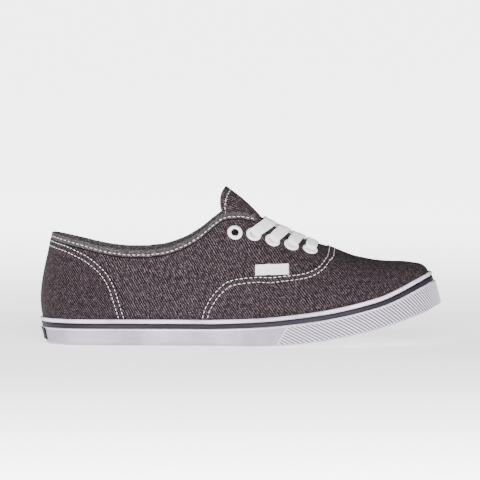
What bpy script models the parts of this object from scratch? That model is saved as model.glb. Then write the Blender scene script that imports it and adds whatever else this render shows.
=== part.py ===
"""A low canvas skateboarding shoe for the right foot, standing empty on its sole.

Metres, +Z up, the toe towards +X and the outer side of the foot towards -Y.
The upper is worked out as a surface of two shares: a station that walks round the
shoe, from the middle of the heel along the outer side to the toe and back along
the inner side, and a climb from the sole (0) to the collar, the facing or the
ridge of the toe box (1). Every piece that lies on the upper is cut from it.
"""

import math
from collections import namedtuple
from functools import lru_cache

import bmesh
import bpy
import numpy as np
from mathutils import Matrix, Vector

# Driving dimensions of the whole shoe
SHOE_LENGTH = 0.275
BALL_WIDTH = 0.099
HEEL_WIDTH = 0.070
COLLAR_HEIGHT = 0.0762
INSTEP_HEIGHT = 0.0908
TOE_HEIGHT = 0.0346
TOE_SPRING = 0.0265

# Where the sole leaves the floor, as a share of the length
SPRING_START = 0.53

# The rubber
OUTSOLE_THICKNESS = 0.0070
FOXING_THICKNESS = 0.0034
FOXING_HEIGHT_HEEL = 0.0182
FOXING_HEIGHT_BALL = 0.0208
FOXING_HEIGHT_TOE = 0.0238
FOXING_CLEARANCE = 0.0008
FOXING_LEAST_WALL = 0.0013
FOXING_FOOT_TURN = 0.0011
FOXING_FOOT_TUCK = 0.0012
HEEL_UNDERCUT = 0.0032
BEAD_HEIGHT = 0.0025
BEAD_PROUD = 0.0004
BEAD_TURN = 0.0008
BEAD_TUCK = 0.0005
STRIPE_HEIGHT = 0.0036
STRIPE_THICKNESS = 0.0004
GROOVE_DEPTH = 0.0008
BUMPER_THICKNESS = 0.0008
BUMPER_LIFT = 0.0016
PATCH_THICKNESS = 0.0010
PATCH_LIFT = 0.0022
PATCH_WIDTH = 0.026
TREAD_DEPTH = 0.0016
TREAD_GROOVE = 0.0024
TREAD_PITCH = 0.0115
TREAD_BORDER = 0.0075

# Where the first and the last groove of the tread may lie, as shares of the length
TREAD_FROM = 0.055
TREAD_TO = 0.965

# The cloth
UPPER_WALL = 0.0020
OVERLAY_THICKNESS = 0.0008
BINDING_HEIGHT = 0.0046
BINDING_THICKNESS = 0.0005
TONGUE_THICKNESS = 0.0016
INSOLE_THICKNESS = 0.0036

# The lacing
EYELET_COUNT = 5
EYELET_FIRST = 0.4844
EYELET_PITCH = 0.0471
EYELET_SETBACKS = (0.0154, 0.0162, 0.0147, 0.0127, 0.0121)
EYELET_HOLE = 0.0026
EYELET_FLANGE = 0.0053
EYELET_LIP = 0.0008
EYELET_FLANGE_THICKNESS = 0.0009
EYELET_SEAT = 0.0006
EYELET_BARREL_WALL = 0.0005
LACE_WIDTH = 0.0084
LACE_THICKNESS = 0.0012
LACE_END_SHORT = 0.0028
LACE_EDGE_LIFT = 0.0018
LACE_CREST = 0.0004

# The label's size, its middle as shares of the length and the instep, and its rise a length
LABEL_LENGTH = 0.0240
LABEL_HEIGHT = 0.0076
LABEL_THICKNESS = 0.0005
LABEL_ALONG = 0.579
LABEL_UP = 0.585
LABEL_RISE = 0.03

# Pieces that touch keep this gap
GAP = 0.0003

# The sole's outline: rows from heel to toe, along as a share of the length, and the
# half widths as shares of the sole's width there
OutlineRow = namedtuple("OutlineRow", "name along outer inner")
OUTLINE = [
    OutlineRow("heel back", 0.0000, 0.000, 0.000),
    OutlineRow("heel turn", 0.0127, 0.250, 0.250),
    OutlineRow("heel corner", 0.0618, 0.436, 0.436),
    OutlineRow("heel side", 0.1382, 0.497, 0.494),
    OutlineRow("heel front", 0.2327, 0.509, 0.489),
    OutlineRow("waist back", 0.3345, 0.500, 0.443),
    OutlineRow("waist", 0.4364, 0.490, 0.396),
    OutlineRow("waist front", 0.5345, 0.488, 0.392),
    OutlineRow("ball back", 0.6291, 0.493, 0.420),
    OutlineRow("ball", 0.7200, 0.501, 0.459),
    OutlineRow("ball front", 0.8073, 0.485, 0.481),
    OutlineRow("toe side", 0.8873, 0.414, 0.461),
    OutlineRow("toe corner", 0.9527, 0.289, 0.380),
    OutlineRow("toe turn", 0.9927, 0.121, 0.242),
    OutlineRow("toe tip", 1.0000, -0.056, 0.056),
]

# The opening's edge and, in front of the throat, the ridge of the toe box. The station
# counts outline rows, half_gap is a share of the ball width, and up is the height above
# the sole's underside as a share of the height named by the row
RimRow = namedtuple("RimRow", "name station along middle half_gap up")
RIM = [
    RimRow("collar back", 0.00, 0.0276, 0.000, 0.0000, 1.000),
    RimRow("collar back turn", 0.50, 0.0298, 0.000, 0.0566, 0.999),
    RimRow("collar turn", 1.00, 0.0371, 0.000, 0.1111, 0.993),
    RimRow("collar corner", 1.50, 0.0516, 0.000, 0.1576, 0.980),
    RimRow("collar side", 2.00, 0.0727, 0.000, 0.1939, 0.961),
    RimRow("ankle back", 2.50, 0.1055, 0.000, 0.2242, 0.932),
    RimRow("ankle", 3.00, 0.1400, 0.000, 0.2424, 0.900),
    RimRow("ankle front", 3.50, 0.1818, 0.000, 0.2525, 0.871),
    RimRow("dip back", 4.00, 0.2255, 0.000, 0.2576, 0.857),
    RimRow("dip", 4.50, 0.2691, 0.000, 0.2586, 0.857),
    RimRow("dip front", 5.00, 0.3127, 0.000, 0.2566, 0.839),
    RimRow("rise back", 5.50, 0.3527, 0.000, 0.2505, 0.848),
    RimRow("rise", 6.00, 0.3909, 0.000, 0.2404, 0.879),
    RimRow("rise front", 6.50, 0.4291, 0.000, 0.2222, 0.936),
    RimRow("facing corner back", 6.85, 0.4545, 0.000, 0.2081, 0.989),
    RimRow("facing corner", 7.10, 0.4709, 0.000, 0.1939, 1.000),
    RimRow("facing top", 7.40, 0.4945, 0.000, 0.1697, 1.000),
    RimRow("facing", 7.70, 0.5309, 0.000, 0.1394, 0.978),
    RimRow("facing middle", 8.00, 0.5673, 0.000, 0.1172, 0.916),
    RimRow("facing low", 8.50, 0.6291, 0.001, 0.0859, 0.809),
    RimRow("facing end back", 8.85, 0.6691, 0.003, 0.0657, 0.743),
    RimRow("facing end", 9.10, 0.6945, 0.004, 0.0505, 0.702),
    RimRow("throat turn", 9.22, 0.7055, 0.004, 0.0384, 0.687),
    RimRow("throat tip back", 9.30, 0.7113, 0.005, 0.0212, 0.680),
    RimRow("throat tip", 9.34, 0.7135, 0.005, 0.0000, 0.676),
    RimRow("vamp ridge back", 9.60, 0.7309, 0.007, 0.0000, 0.644),
    RimRow("vamp ridge", 10.00, 0.7600, 0.012, 0.0000, 0.590),
    RimRow("vamp ridge front", 10.50, 0.7927, 0.017, 0.0000, 0.530),
    RimRow("toe ridge back", 11.00, 0.8218, 0.022, 0.0000, 0.486),
    RimRow("toe ridge", 12.00, 0.8655, 0.030, 0.0000, 0.436),
    RimRow("toe ridge front", 13.00, 0.8982, 0.036, 0.0000, 0.405),
    RimRow("toe pole", 14.00, 0.9200, 0.040, 0.0000, 0.381),
]

# The bend of each wall from sole to rim, as a curve with two handles: rise and drop are
# shares of the wall's height, bulge and reach are shares of the ball width
WallRow = namedtuple("WallRow", "name station rise bulge reach drop")
WALL = [
    WallRow("heel back", 0.00, 0.35, 0.114, 0.036, 0.35),
    WallRow("heel corner", 2.00, 0.35, 0.068, 0.040, 0.35),
    WallRow("heel front", 4.00, 0.35, 0.042, 0.045, 0.33),
    WallRow("waist back", 5.50, 0.36, 0.038, 0.060, 0.30),
    WallRow("waist", 6.50, 0.38, 0.038, 0.090, 0.27),
    WallRow("facing corner", 7.10, 0.40, 0.038, 0.116, 0.26),
    WallRow("facing", 7.70, 0.42, 0.036, 0.141, 0.22),
    WallRow("facing low", 8.50, 0.46, 0.032, 0.177, 0.15),
    WallRow("facing end", 9.10, 0.50, 0.030, 0.202, 0.07),
    WallRow("throat tip", 9.34, 0.52, 0.030, 0.222, 0.03),
    WallRow("vamp", 9.60, 0.54, 0.030, 0.232, 0.00),
    WallRow("ball front", 10.50, 0.60, 0.028, 0.242, 0.00),
    WallRow("toe side", 11.50, 0.66, 0.028, 0.225, 0.00),
    WallRow("toe corner", 12.50, 0.72, 0.034, 0.175, 0.00),
    WallRow("toe tip", 14.00, 0.76, 0.040, 0.145, 0.00),
]

# Where the edges of the toe piece and the heel counter run, seen from the side: along is a
# share of the length, up the height above the sole's underside as a share of the instep's
# height for the toe piece and of the collar's for the counter
SeamRow = namedtuple("SeamRow", "name along up")
VAMP_SEAM = [
    SeamRow("under the band", 0.3909, 0.088),
    SeamRow("at the band", 0.3982, 0.198),
    SeamRow("first rise", 0.4055, 0.278),
    SeamRow("first turn", 0.4236, 0.376),
    SeamRow("shoulder", 0.4436, 0.445),
    SeamRow("level run back", 0.4673, 0.498),
    SeamRow("level run", 0.4945, 0.520),
    SeamRow("label back", 0.5287, 0.531),
    SeamRow("label", 0.5669, 0.527),
    SeamRow("label front", 0.6022, 0.526),
    SeamRow("last turn back", 0.6382, 0.523),
    SeamRow("last turn", 0.6629, 0.526),
    SeamRow("climb", 0.6844, 0.541),
    SeamRow("climb front", 0.7004, 0.570),
    SeamRow("climb top", 0.7120, 0.615),
    SeamRow("across the ridge", 0.7178, 0.664),
    SeamRow("over the ridge", 0.7200, 0.771),
]
COUNTER_SEAM = [
    SeamRow("under the band", 0.2236, 0.105),
    SeamRow("at the band", 0.2116, 0.247),
    SeamRow("low", 0.2025, 0.346),
    SeamRow("fall", 0.1949, 0.433),
    SeamRow("shoulder", 0.1865, 0.522),
    SeamRow("turn", 0.1764, 0.598),
    SeamRow("turn top", 0.1615, 0.676),
    SeamRow("side", 0.1404, 0.748),
    SeamRow("rise", 0.1182, 0.808),
    SeamRow("heel side", 0.0942, 0.853),
    SeamRow("heel corner", 0.0636, 0.903),
    SeamRow("heel turn", 0.0400, 0.933),
    SeamRow("heel back", 0.0000, 0.971),
]

# The tongue's middle line from its hidden front to its free top, with the radius of its
# arch: along is a share of the length, up the height above the sole's underside as a share
# of the instep height, radius a share of the ball width
TongueRow = namedtuple("TongueRow", "name along up radius")
TONGUE = [
    TongueRow("sewn end", 0.742, 0.598, 0.270),
    TongueRow("under the throat", 0.713, 0.647, 0.240),
    TongueRow("bottom bar", 0.669, 0.719, 0.212),
    TongueRow("low crossing", 0.629, 0.800, 0.192),
    TongueRow("middle crossing", 0.589, 0.862, 0.180),
    TongueRow("top crossing", 0.569, 0.887, 0.172),
    TongueRow("free", 0.548, 0.968, 0.165),
    TongueRow("bend", 0.509, 1.086, 0.162),
    TongueRow("top", 0.4625, 1.194, 0.172),
]
TONGUE_HALF_ANGLE_LOW = math.radians(58)
TONGUE_HALF_ANGLE_TOP = math.radians(96)
TONGUE_EDGE_CURVE = 0.09

# The lace: the eyelet each row starts from, where it crosses the facing's edge and the
# shoe's middle as shares of the length, and its height there over the sole's underside
LaceRow = namedtuple("LaceRow", "name eyelet over_edge along up crossed")
LACING = [
    LaceRow("second", 1, 0.5690, 0.5780, 0.916, True),
    LaceRow("third", 2, 0.6050, 0.6120, 0.858, True),
    LaceRow("fourth", 3, 0.6410, 0.6480, 0.794, True),
    LaceRow("bottom", 4, 0.6785, 0.6805, 0.730, False),
]

# Where each arm of lace has its sections, as shares of the way from its eyelet to the
# facing's edge, how near the middle the last one before it lies, how far one arm stands
# over or under the other as a share of its thickness, and how much of its slant it keeps
# where it dives under the far facing
LACE_SHARES = (-0.12, 0.0, 0.25, 0.5, 0.75, 1.0)
LACE_NEAR_MIDDLE = 0.65
LACE_CROSS = 0.4
LACE_DIVE_SLANT = 0.4

# The bumper's ends: the station they start at, and how far the top leans on to the next
BUMPER_START = 7.7
BUMPER_SLANT = 0.85

# Where the binding ends, just past the top of the facing
BINDING_END = 7.75

# The stations that the toe piece and the heel counter are cut between, and how far past the
# shoe their outlines run, as shares of the length
VAMP_START = 5.1
COUNTER_END = 4.4
PAST_TOE = 1.1
PAST_HEEL = -0.1

# How finely the faces are cut
COLUMNS_PER_SIDE = 33
ROWS_ABOVE_BAND = 7
TONGUE_ROWS = 11
TONGUE_COLUMNS = 13
EYELET_SIDES = 10
LABEL_COLUMNS = 5
LABEL_ROWS = 3
SAMPLE_CLIMBS = np.linspace(0, 1, 121)
THROAT_STATIONS = (8.85, 9.10, 9.22, 9.30, 9.34, 9.46)

# The collar's named height holds up to one station, the instep's from another
COLLAR_UNTIL = 4.5
INSTEP_FROM = 6.5

LAST_STATION = len(OUTLINE) - 1
ROUND = 2 * LAST_STATION
THROAT_TIP = next(row.station for row in RIM if row.name == "throat tip")
UP = np.array([0.0, 0.0, 1.0])


def pchip(knots, values, at):
    """A smooth curve through a table's values that never swings past them."""
    knots, values = np.asarray(knots, float), np.asarray(values, float)
    step = np.diff(knots)
    rise = np.diff(values) / step
    slope = np.zeros(len(knots))
    same_way = rise[:-1] * rise[1:] > 0
    near, far = 2 * step[1:] + step[:-1], step[1:] + 2 * step[:-1]
    with np.errstate(divide="ignore", invalid="ignore"):
        mean = (near + far) / (near / rise[:-1] + far / rise[1:])
    slope[1:-1] = np.where(same_way, mean, 0.0)
    slope[0], slope[-1] = rise[0], rise[-1]
    at = np.clip(np.asarray(at, float), knots[0], knots[-1])
    k = np.clip(np.searchsorted(knots, at, side="right") - 1, 0, len(step) - 1)
    t = (at - knots[k]) / step[k]
    a, b = values[k], values[k + 1]
    pull_a, pull_b = slope[k] * step[k], slope[k + 1] * step[k]
    return (
        a * (1 + 2 * t) * (1 - t) ** 2 + pull_a * t * (1 - t) ** 2
        + b * t * t * (3 - 2 * t) - pull_b * t * t * (1 - t)
    )


def blend_between(start, end, at):
    """0 before start, 1 after end, and a soft turn between."""
    t = np.clip((np.asarray(at, float) - start) / (end - start), 0, 1)
    return t * t * (3 - 2 * t)


def sole_width(along):
    """The sole's nominal width: the heel's at the back, the ball's at the front."""
    return HEEL_WIDTH + (BALL_WIDTH - HEEL_WIDTH) * blend_between(0.20, 0.70, along)


def spring_share(x):
    """Share of the way from where the sole leaves the floor to the toe."""
    return np.clip((np.asarray(x, float) / SHOE_LENGTH - SPRING_START) / (1 - SPRING_START), 0, 1.05)


def sole_rise(x):
    """Height of the sole's underside over the floor."""
    t = spring_share(x)
    return TOE_SPRING * (1.10 * t * t - 0.10 * t ** 3)


def last_rise(x):
    """Height that the cloth's tables count from, which leaves the floor sooner than the sole."""
    t = spring_share(x)
    return TOE_SPRING * (1.65 * t * t - 0.65 * t ** 3)


def sole_normal(x):
    """The direction square to the sole, which leans back along the toe spring."""
    reach = 0.001 * SHOE_LENGTH
    slope = (sole_rise(x + reach) - sole_rise(x - reach)) / (2 * reach)
    length = np.sqrt(1 + slope * slope)
    return np.stack([-slope / length, np.zeros_like(slope), 1 / length], -1)


def closed_spline(points):
    """Values and slopes of the smooth closed curve through points, one station apart."""
    count = len(points)
    matrix = 4 * np.eye(count) + np.roll(np.eye(count), 1, 0) + np.roll(np.eye(count), -1, 0)
    slopes = np.linalg.solve(matrix, 3 * (np.roll(points, -1, 0) - np.roll(points, 1, 0)))
    return points, slopes


def outline_points():
    """The outline's rows as a closed loop of points, outer side first."""
    loop = [(row.along, -row.outer) for row in OUTLINE]
    loop += [(row.along, row.inner) for row in OUTLINE[-2:0:-1]]
    along, side = np.array(loop).T
    return np.stack([along * SHOE_LENGTH, side * sole_width(along)], -1)


OUTLINE_CURVE = closed_spline(outline_points())


def outline_at(station):
    """Point and outward direction of the rubber's outer wall, in plan."""
    station = np.mod(np.asarray(station, float), ROUND)
    k = np.floor(station).astype(int) % ROUND
    t = (station - np.floor(station))[..., None]
    points, slopes = OUTLINE_CURVE
    a, b, da, db = points[k], points[(k + 1) % ROUND], slopes[k], slopes[(k + 1) % ROUND]
    place = (
        a * (1 + 2 * t) * (1 - t) ** 2 + da * t * (1 - t) ** 2
        + b * t * t * (3 - 2 * t) - db * t * t * (1 - t)
    )
    along = (
        (b - a) * 6 * t * (1 - t)
        + da * (1 - t) * (1 - 3 * t) - db * t * (2 - 3 * t)
    )
    along /= np.linalg.norm(along, axis=-1, keepdims=True)
    return place, np.stack([along[..., 1], -along[..., 0]], -1)


def foxing_height(station):
    """Height of the rubber band above the sole's underside."""
    place, _ = outline_at(station)
    along = place[..., 0] / SHOE_LENGTH
    to_ball = (FOXING_HEIGHT_BALL - FOXING_HEIGHT_HEEL) * blend_between(0.40, 0.68, along)
    to_toe = (FOXING_HEIGHT_TOE - FOXING_HEIGHT_BALL) * blend_between(0.86, 1.0, along)
    return FOXING_HEIGHT_HEEL + to_ball + to_toe


def rubber_point(station, height, outward):
    """A point on the rubber: height is square to the sole, outward from its outer wall."""
    place, normal = outline_at(station)
    height = np.asarray(height, float)[..., None] * np.ones(place.shape[:-1])[..., None]
    outward = np.asarray(outward, float)[..., None]
    plan = place + normal * outward
    x = plan[..., 0]
    at_heel = 1 - blend_between(0.0, 0.16, x / SHOE_LENGTH)
    lean = HEEL_UNDERCUT * at_heel * (1 - height[..., 0] / FOXING_HEIGHT_HEEL)
    base = np.stack([x + np.maximum(lean, 0), plan[..., 1], sole_rise(x)], -1)
    return base + sole_normal(x) * height


def local_height(station):
    """The named height that a rim row's share is taken of."""
    return np.interp(station, (COLLAR_UNTIL, INSTEP_FROM), (COLLAR_HEIGHT, INSTEP_HEIGHT))


def rim_at(station):
    """The rim's point at a station on either side."""
    station = np.mod(np.asarray(station, float), ROUND)
    half = np.minimum(station, ROUND - station)
    side = np.where(station <= LAST_STATION, -1.0, 1.0)
    mirrored = [(-row.station, row, -1) for row in RIM[3:0:-1]] + [(row.station, row, 1) for row in RIM]
    knots = [m[0] for m in mirrored]
    x = pchip(knots, [m[1].along for m in mirrored], half) * SHOE_LENGTH
    middle = pchip(knots, [m[1].middle for m in mirrored], half) * BALL_WIDTH
    gap = pchip(knots, [m[1].half_gap * m[2] for m in mirrored], half) * BALL_WIDTH
    gap = np.where(half >= THROAT_TIP - 1e-9, 0.0, gap)
    toe_share = np.clip((half - THROAT_TIP) / (LAST_STATION - THROAT_TIP), 0, 1)
    up = pchip(knots, [m[1].up for m in mirrored], half) * local_height(half)
    toe_row = RIM[-1].up * INSTEP_HEIGHT
    up = up + (TOE_HEIGHT - toe_row) * toe_share
    return np.stack([x, middle + side * gap, last_rise(x) + up], -1)


def ridge_slope(half):
    """How steeply the rim or ridge rises along the shoe."""
    step = 0.02
    behind, ahead = rim_at(half - step), rim_at(np.minimum(half + step, LAST_STATION))
    run = ahead[..., 0] - behind[..., 0]
    return (ahead[..., 2] - behind[..., 2]) / np.where(np.abs(run) < 1e-6, 1e-6, run)


def upper_point(station, climb, lift=0.0):
    """A point of the upper's outer face, lifted off it along the face's normal."""
    station, climb = np.broadcast_arrays(np.asarray(station, float), np.asarray(climb, float))
    place = bare_upper_point(station, climb)
    if np.all(np.asarray(lift) == 0):
        return place
    return place + upper_normal(station, climb) * np.asarray(lift, float)[..., None]


def bare_upper_point(station, climb):
    foot = rubber_point(station, OUTSOLE_THICKNESS + GAP, -FOXING_THICKNESS)
    rim = rim_at(station)
    half = np.minimum(np.mod(station, ROUND), ROUND - np.mod(station, ROUND))
    rise, bulge, reach, drop = (
        pchip([row.station for row in WALL], [getattr(row, name) for row in WALL], half)
        for name in ("rise", "bulge", "reach", "drop")
    )
    _, outward = outline_at(station)
    outward = np.concatenate([outward, np.zeros(outward.shape[:-1] + (1,))], -1)
    up = sole_normal(foot[..., 0])
    height = np.sum((rim - foot) * up, -1)
    low = foot + up * (rise * height)[..., None] + outward * (bulge * BALL_WIDTH)[..., None]
    # over the toe box the handle lies in the ridge's own slope, so both sides meet smoothly
    outward[..., 2] = outward[..., 0] * ridge_slope(half) * blend_between(9.0, THROAT_TIP, half)
    high = rim - UP * (drop * height)[..., None] + outward * (reach * BALL_WIDTH)[..., None]
    t = climb[..., None]
    return (
        foot * (1 - t) ** 3 + low * 3 * t * (1 - t) ** 2
        + high * 3 * t * t * (1 - t) + rim * t ** 3
    )


def upper_normal(station, climb):
    """The upper's outward direction, measured a little off the pole at the toe."""
    d_station, d_climb = 0.02, 0.01
    station = np.mod(station, ROUND)
    toe_side = np.where(station <= LAST_STATION, -1, 1)
    near_toe = np.abs(station - LAST_STATION) < 0.05
    at = np.where(near_toe & (climb > 0.9), LAST_STATION + toe_side * 0.05, station)
    up = np.clip(climb, d_climb, 1 - d_climb)
    across = bare_upper_point(at + d_station, up) - bare_upper_point(at - d_station, up)
    along = bare_upper_point(at, up + d_climb) - bare_upper_point(at, up - d_climb)
    normal = np.cross(across, along)
    normal /= np.linalg.norm(normal, axis=-1, keepdims=True)
    half = np.minimum(station, ROUND - station)
    slope = ridge_slope(half)
    on_ridge = np.stack([-slope, np.zeros_like(slope), np.ones_like(slope)], -1)
    on_ridge /= np.linalg.norm(on_ridge, axis=-1, keepdims=True)
    ridge = (climb > 0.985) & (half >= THROAT_TIP - 1e-9)
    return np.where(ridge[..., None], on_ridge, normal)


@lru_cache(maxsize=None)
def wall_samples(station):
    """Points up the upper at one station."""
    return upper_point(np.full(len(SAMPLE_CLIMBS), station), SAMPLE_CLIMBS)


@lru_cache(maxsize=None)
def climb_at_height(station, height):
    """The climb at which the upper is a height above the sole's underside there."""
    foot = rubber_point(np.array(station), 0.0, -FOXING_THICKNESS)
    heights = (wall_samples(station) - foot) @ sole_normal(foot[0])
    top = int(np.argmax(heights)) + 1
    return float(np.interp(height, heights[:top], SAMPLE_CLIMBS[:top]))


@lru_cache(maxsize=None)
def climb_below_rim(station, distance):
    """The climb that lies a distance below the rim, measured over the cloth."""
    points = wall_samples(station)[::-1]
    run = np.concatenate([[0], np.cumsum(np.linalg.norm(np.diff(points, axis=0), axis=1))])
    return float(np.interp(distance, run, SAMPLE_CLIMBS[::-1]))


@lru_cache(maxsize=None)
def row_climbs(station):
    """The climbs of the upper's rows: two behind the rubber band, the rest even to the rim."""
    band = climb_at_height(station, float(foxing_height(station)))
    return [0.0, 0.5 * band] + list(np.linspace(band, 1, ROWS_ABOVE_BAND + 1))


def upper_grid(stations, low=0.0, high=1.0, lift=0.0):
    """Columns of points on the upper's faceted face, cut off below low and above high."""
    low, high = (np.broadcast_to(np.asarray(v, float), len(stations)) for v in (low, high))
    rows = np.array([row_climbs(s) for s in stations])
    columns = np.broadcast_to(np.asarray(stations)[:, None], rows.shape)
    points = upper_point(columns, rows, np.full(rows.shape, lift))
    grid = []
    for column, climbs, a, b in zip(points, rows, low, high):
        wanted = np.clip(climbs, a, b)
        grid.append(np.stack([np.interp(wanted, climbs, axis) for axis in column.T], -1))
    return np.array(grid)


def surface_at(x, z, station, climb):
    """The station and climb of the upper's point with this x and z, from a first guess."""
    step = 0.01
    for _ in range(12):
        here = upper_point(station, climb)
        to_station = (upper_point(station + step, climb) - here) / step
        to_climb = (upper_point(station, climb + step) - here) / step
        matrix = np.array([[to_station[0], to_climb[0]], [to_station[2], to_climb[2]]])
        move = np.linalg.solve(matrix, [x - here[0], z - here[2]])
        station, climb = station + float(move[0]), climb + float(move[1])
    return station, climb


def other_side(station):
    """The station across the shoe."""
    return ROUND - station


def half_stations():
    """Stations from heel to toe, closer together round the throat's tip."""
    plain = np.linspace(0, LAST_STATION, COLUMNS_PER_SIDE + 1)
    kept = [float(s) for s in plain if all(abs(s - n) > 0.16 for n in THROAT_STATIONS)]
    return sorted(kept + list(THROAT_STATIONS))


def stations_between(start, end):
    """The upper's stations between two stations of its outer side, across the heel or toe."""
    halves = half_stations()
    loop = [-s for s in halves[:0:-1]] + halves + [other_side(s) for s in halves[-2::-1]]
    return [s for s in loop if start - 1e-9 <= s <= end + 1e-9]


def material(name, colour, roughness, metallic=0.0):
    made = bpy.data.materials.new(name)
    made.use_nodes = True
    shader = made.node_tree.nodes["Principled BSDF"]
    shader.inputs["Base Color"].default_value = (*colour, 1.0)
    shader.inputs["Roughness"].default_value = roughness
    shader.inputs["Metallic"].default_value = metallic
    return made


def add_object(name, bm, finish, smooth=True):
    """Makes a bmesh a named object with its faces pointing out."""
    bmesh.ops.recalc_face_normals(bm, faces=bm.faces)
    mesh = bpy.data.meshes.new(name)
    bm.to_mesh(mesh)
    bm.free()
    made = bpy.data.objects.new(name, mesh)
    bpy.context.scene.collection.objects.link(made)
    mesh.materials.append(finish)
    if smooth:
        mesh.shade_smooth()
        mesh.set_sharp_from_angle(angle=math.radians(40))
    return made


def split_face(bm, low_a, low_b, high_b, high_a):
    """A four-sided patch as two triangles, always cut from its low corner on the first
    column, so that pieces lying on each other are cut alike."""
    bm.faces.new((low_a, low_b, high_b))
    bm.faces.new((low_a, high_b, high_a))


def grid_solid(outer, inner, closed, open_top):
    """A wall between two grids of points, columns by rows, as one closed body.

    open_top says for each pair of neighbouring columns whether the wall has a top edge
    there; where it has none, the two sides of the shoe meet and share their points.
    """
    bm = bmesh.new()
    columns, rows = outer.shape[:2]
    out = [[bm.verts.new(p) for p in column] for column in outer]
    inn = [[bm.verts.new(p) for p in column] for column in inner]
    for i in range(columns if closed else columns - 1):
        j = (i + 1) % columns
        for k in range(rows - 1):
            split_face(bm, out[i][k], out[j][k], out[j][k + 1], out[i][k + 1])
            split_face(bm, inn[i][k], inn[j][k], inn[j][k + 1], inn[i][k + 1])
        bm.faces.new((inn[i][0], inn[j][0], out[j][0], out[i][0]))
        if open_top[i]:
            bm.faces.new((out[i][-1], out[j][-1], inn[j][-1], inn[i][-1]))
    if not closed:
        for i in (0, columns - 1):
            for k in range(rows - 1):
                bm.faces.new((out[i][k], out[i][k + 1], inn[i][k + 1], inn[i][k]))
    bmesh.ops.remove_doubles(bm, verts=bm.verts, dist=1e-6)
    return bm


def join_sections(bm, a, b):
    """Faces between two neighbouring cross-sections."""
    for k in range(len(a)):
        n = (k + 1) % len(a)
        low, high = (k, n) if a[k].co.z <= a[n].co.z else (n, k)
        split_face(bm, a[low], b[low], b[high], a[high])


def ring_solid(rings):
    """A closed band: each ring is one loop of points round a cross-section."""
    bm = bmesh.new()
    loops = [[bm.verts.new(p) for p in ring] for ring in rings]
    for a, b in zip(loops, loops[1:] + loops[:1]):
        join_sections(bm, a, b)
    return bm


def capped_sweep(sections):
    """A bar through cross-sections, closed at both ends."""
    bm = bmesh.new()
    loops = [[bm.verts.new(p) for p in section] for section in sections]
    for a, b in zip(loops, loops[1:]):
        join_sections(bm, a, b)
    bm.faces.new(loops[0][::-1])
    bm.faces.new(loops[-1])
    return bm


def boolean(target, cutter, operation):
    """Adds a live Boolean and hides its other piece."""
    cut = target.modifiers.new(cutter.name, "BOOLEAN")
    cut.operation = operation
    cut.solver = "EXACT"
    cut.object = cutter
    cutter.hide_render = True
    cutter.display_type = "WIRE"


def slab(edge_outward, bottom, thickness, spacing=0.5):
    """A slab that follows the sole, with its edge a distance inside the rubber's wall."""
    bm = bmesh.new()
    halves = np.arange(0, LAST_STATION + 1e-9, spacing)
    layers = []
    for height in (bottom, bottom + thickness):
        outer = rubber_point(halves, height, edge_outward)
        inner = rubber_point(other_side(halves[1:-1]), height, edge_outward)
        layers.append(([bm.verts.new(p) for p in outer], [bm.verts.new(p) for p in inner]))
    for outer, inner in layers:
        left = outer
        right = [outer[0]] + inner + [outer[-1]]
        for k in range(len(left) - 1):
            ring = []
            for v in (left[k], left[k + 1], right[k + 1], right[k]):
                if v not in ring:
                    ring.append(v)
            bm.faces.new(ring)
    loops = [outer + inner[::-1] for outer, inner in layers]
    low, high = loops
    for k in range(len(low)):
        n = (k + 1) % len(low)
        bm.faces.new((low[k], low[n], high[n], high[k]))
    return bm


def groove_cutters(finish):
    """Bars across the tread, set square to the sole, that cut its main grooves."""
    bm = bmesh.new()
    first = TREAD_FROM * SHOE_LENGTH
    count = int((TREAD_TO - TREAD_FROM) * SHOE_LENGTH / TREAD_PITCH)
    half = np.linspace(0, LAST_STATION, 20 * LAST_STATION + 1)
    outer, _ = outline_at(half)
    inner, _ = outline_at(other_side(half))
    inset = FOXING_THICKNESS + TREAD_BORDER
    for k in range(count + 1):
        x = first + k * TREAD_PITCH
        low = np.interp(x, outer[:, 0], outer[:, 1]) + inset
        high = np.interp(x, inner[:, 0], inner[:, 1]) - inset
        if high - low < TREAD_BORDER:
            continue
        up = sole_normal(np.array(x))
        bar = bmesh.ops.create_cube(bm, size=1.0)["verts"]
        height = 2 * TREAD_DEPTH
        bmesh.ops.scale(bm, verts=bar, vec=(TREAD_GROOVE, high - low, height))
        tilt = Matrix.Rotation(math.atan2(up[0], up[2]), 4, "Y")
        place = Matrix.Translation((x, (low + high) / 2, float(sole_rise(x)))) @ tilt
        bmesh.ops.transform(bm, matrix=place, verts=bar)
    return add_object("tread_grooves", bm, finish, smooth=False)


def build_outsole(finish):
    bm = slab(-FOXING_THICKNESS, 0.0, OUTSOLE_THICKNESS)
    outsole = add_object("outsole", bm, finish)
    boolean(outsole, groove_cutters(finish), "DIFFERENCE")
    return outsole


def build_insole(finish):
    edge = -(FOXING_THICKNESS + UPPER_WALL + 2 * GAP)
    bm = slab(edge, OUTSOLE_THICKNESS + GAP, INSOLE_THICKNESS)
    return add_object("insole", bm, finish)


@lru_cache(maxsize=None)
def wall_outward(station, height):
    """How far outside the nominal wall the rubber stands, so it always covers the cloth."""
    climb = climb_at_height(station, height)
    cloth = upper_point(np.array(station), np.array(climb))
    wall = rubber_point(np.array(station), height, 0.0)
    _, normal = outline_at(station)
    inside = float((wall - cloth)[:2] @ normal)
    return max(0.0, GAP + FOXING_LEAST_WALL + GROOVE_DEPTH - inside)


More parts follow.
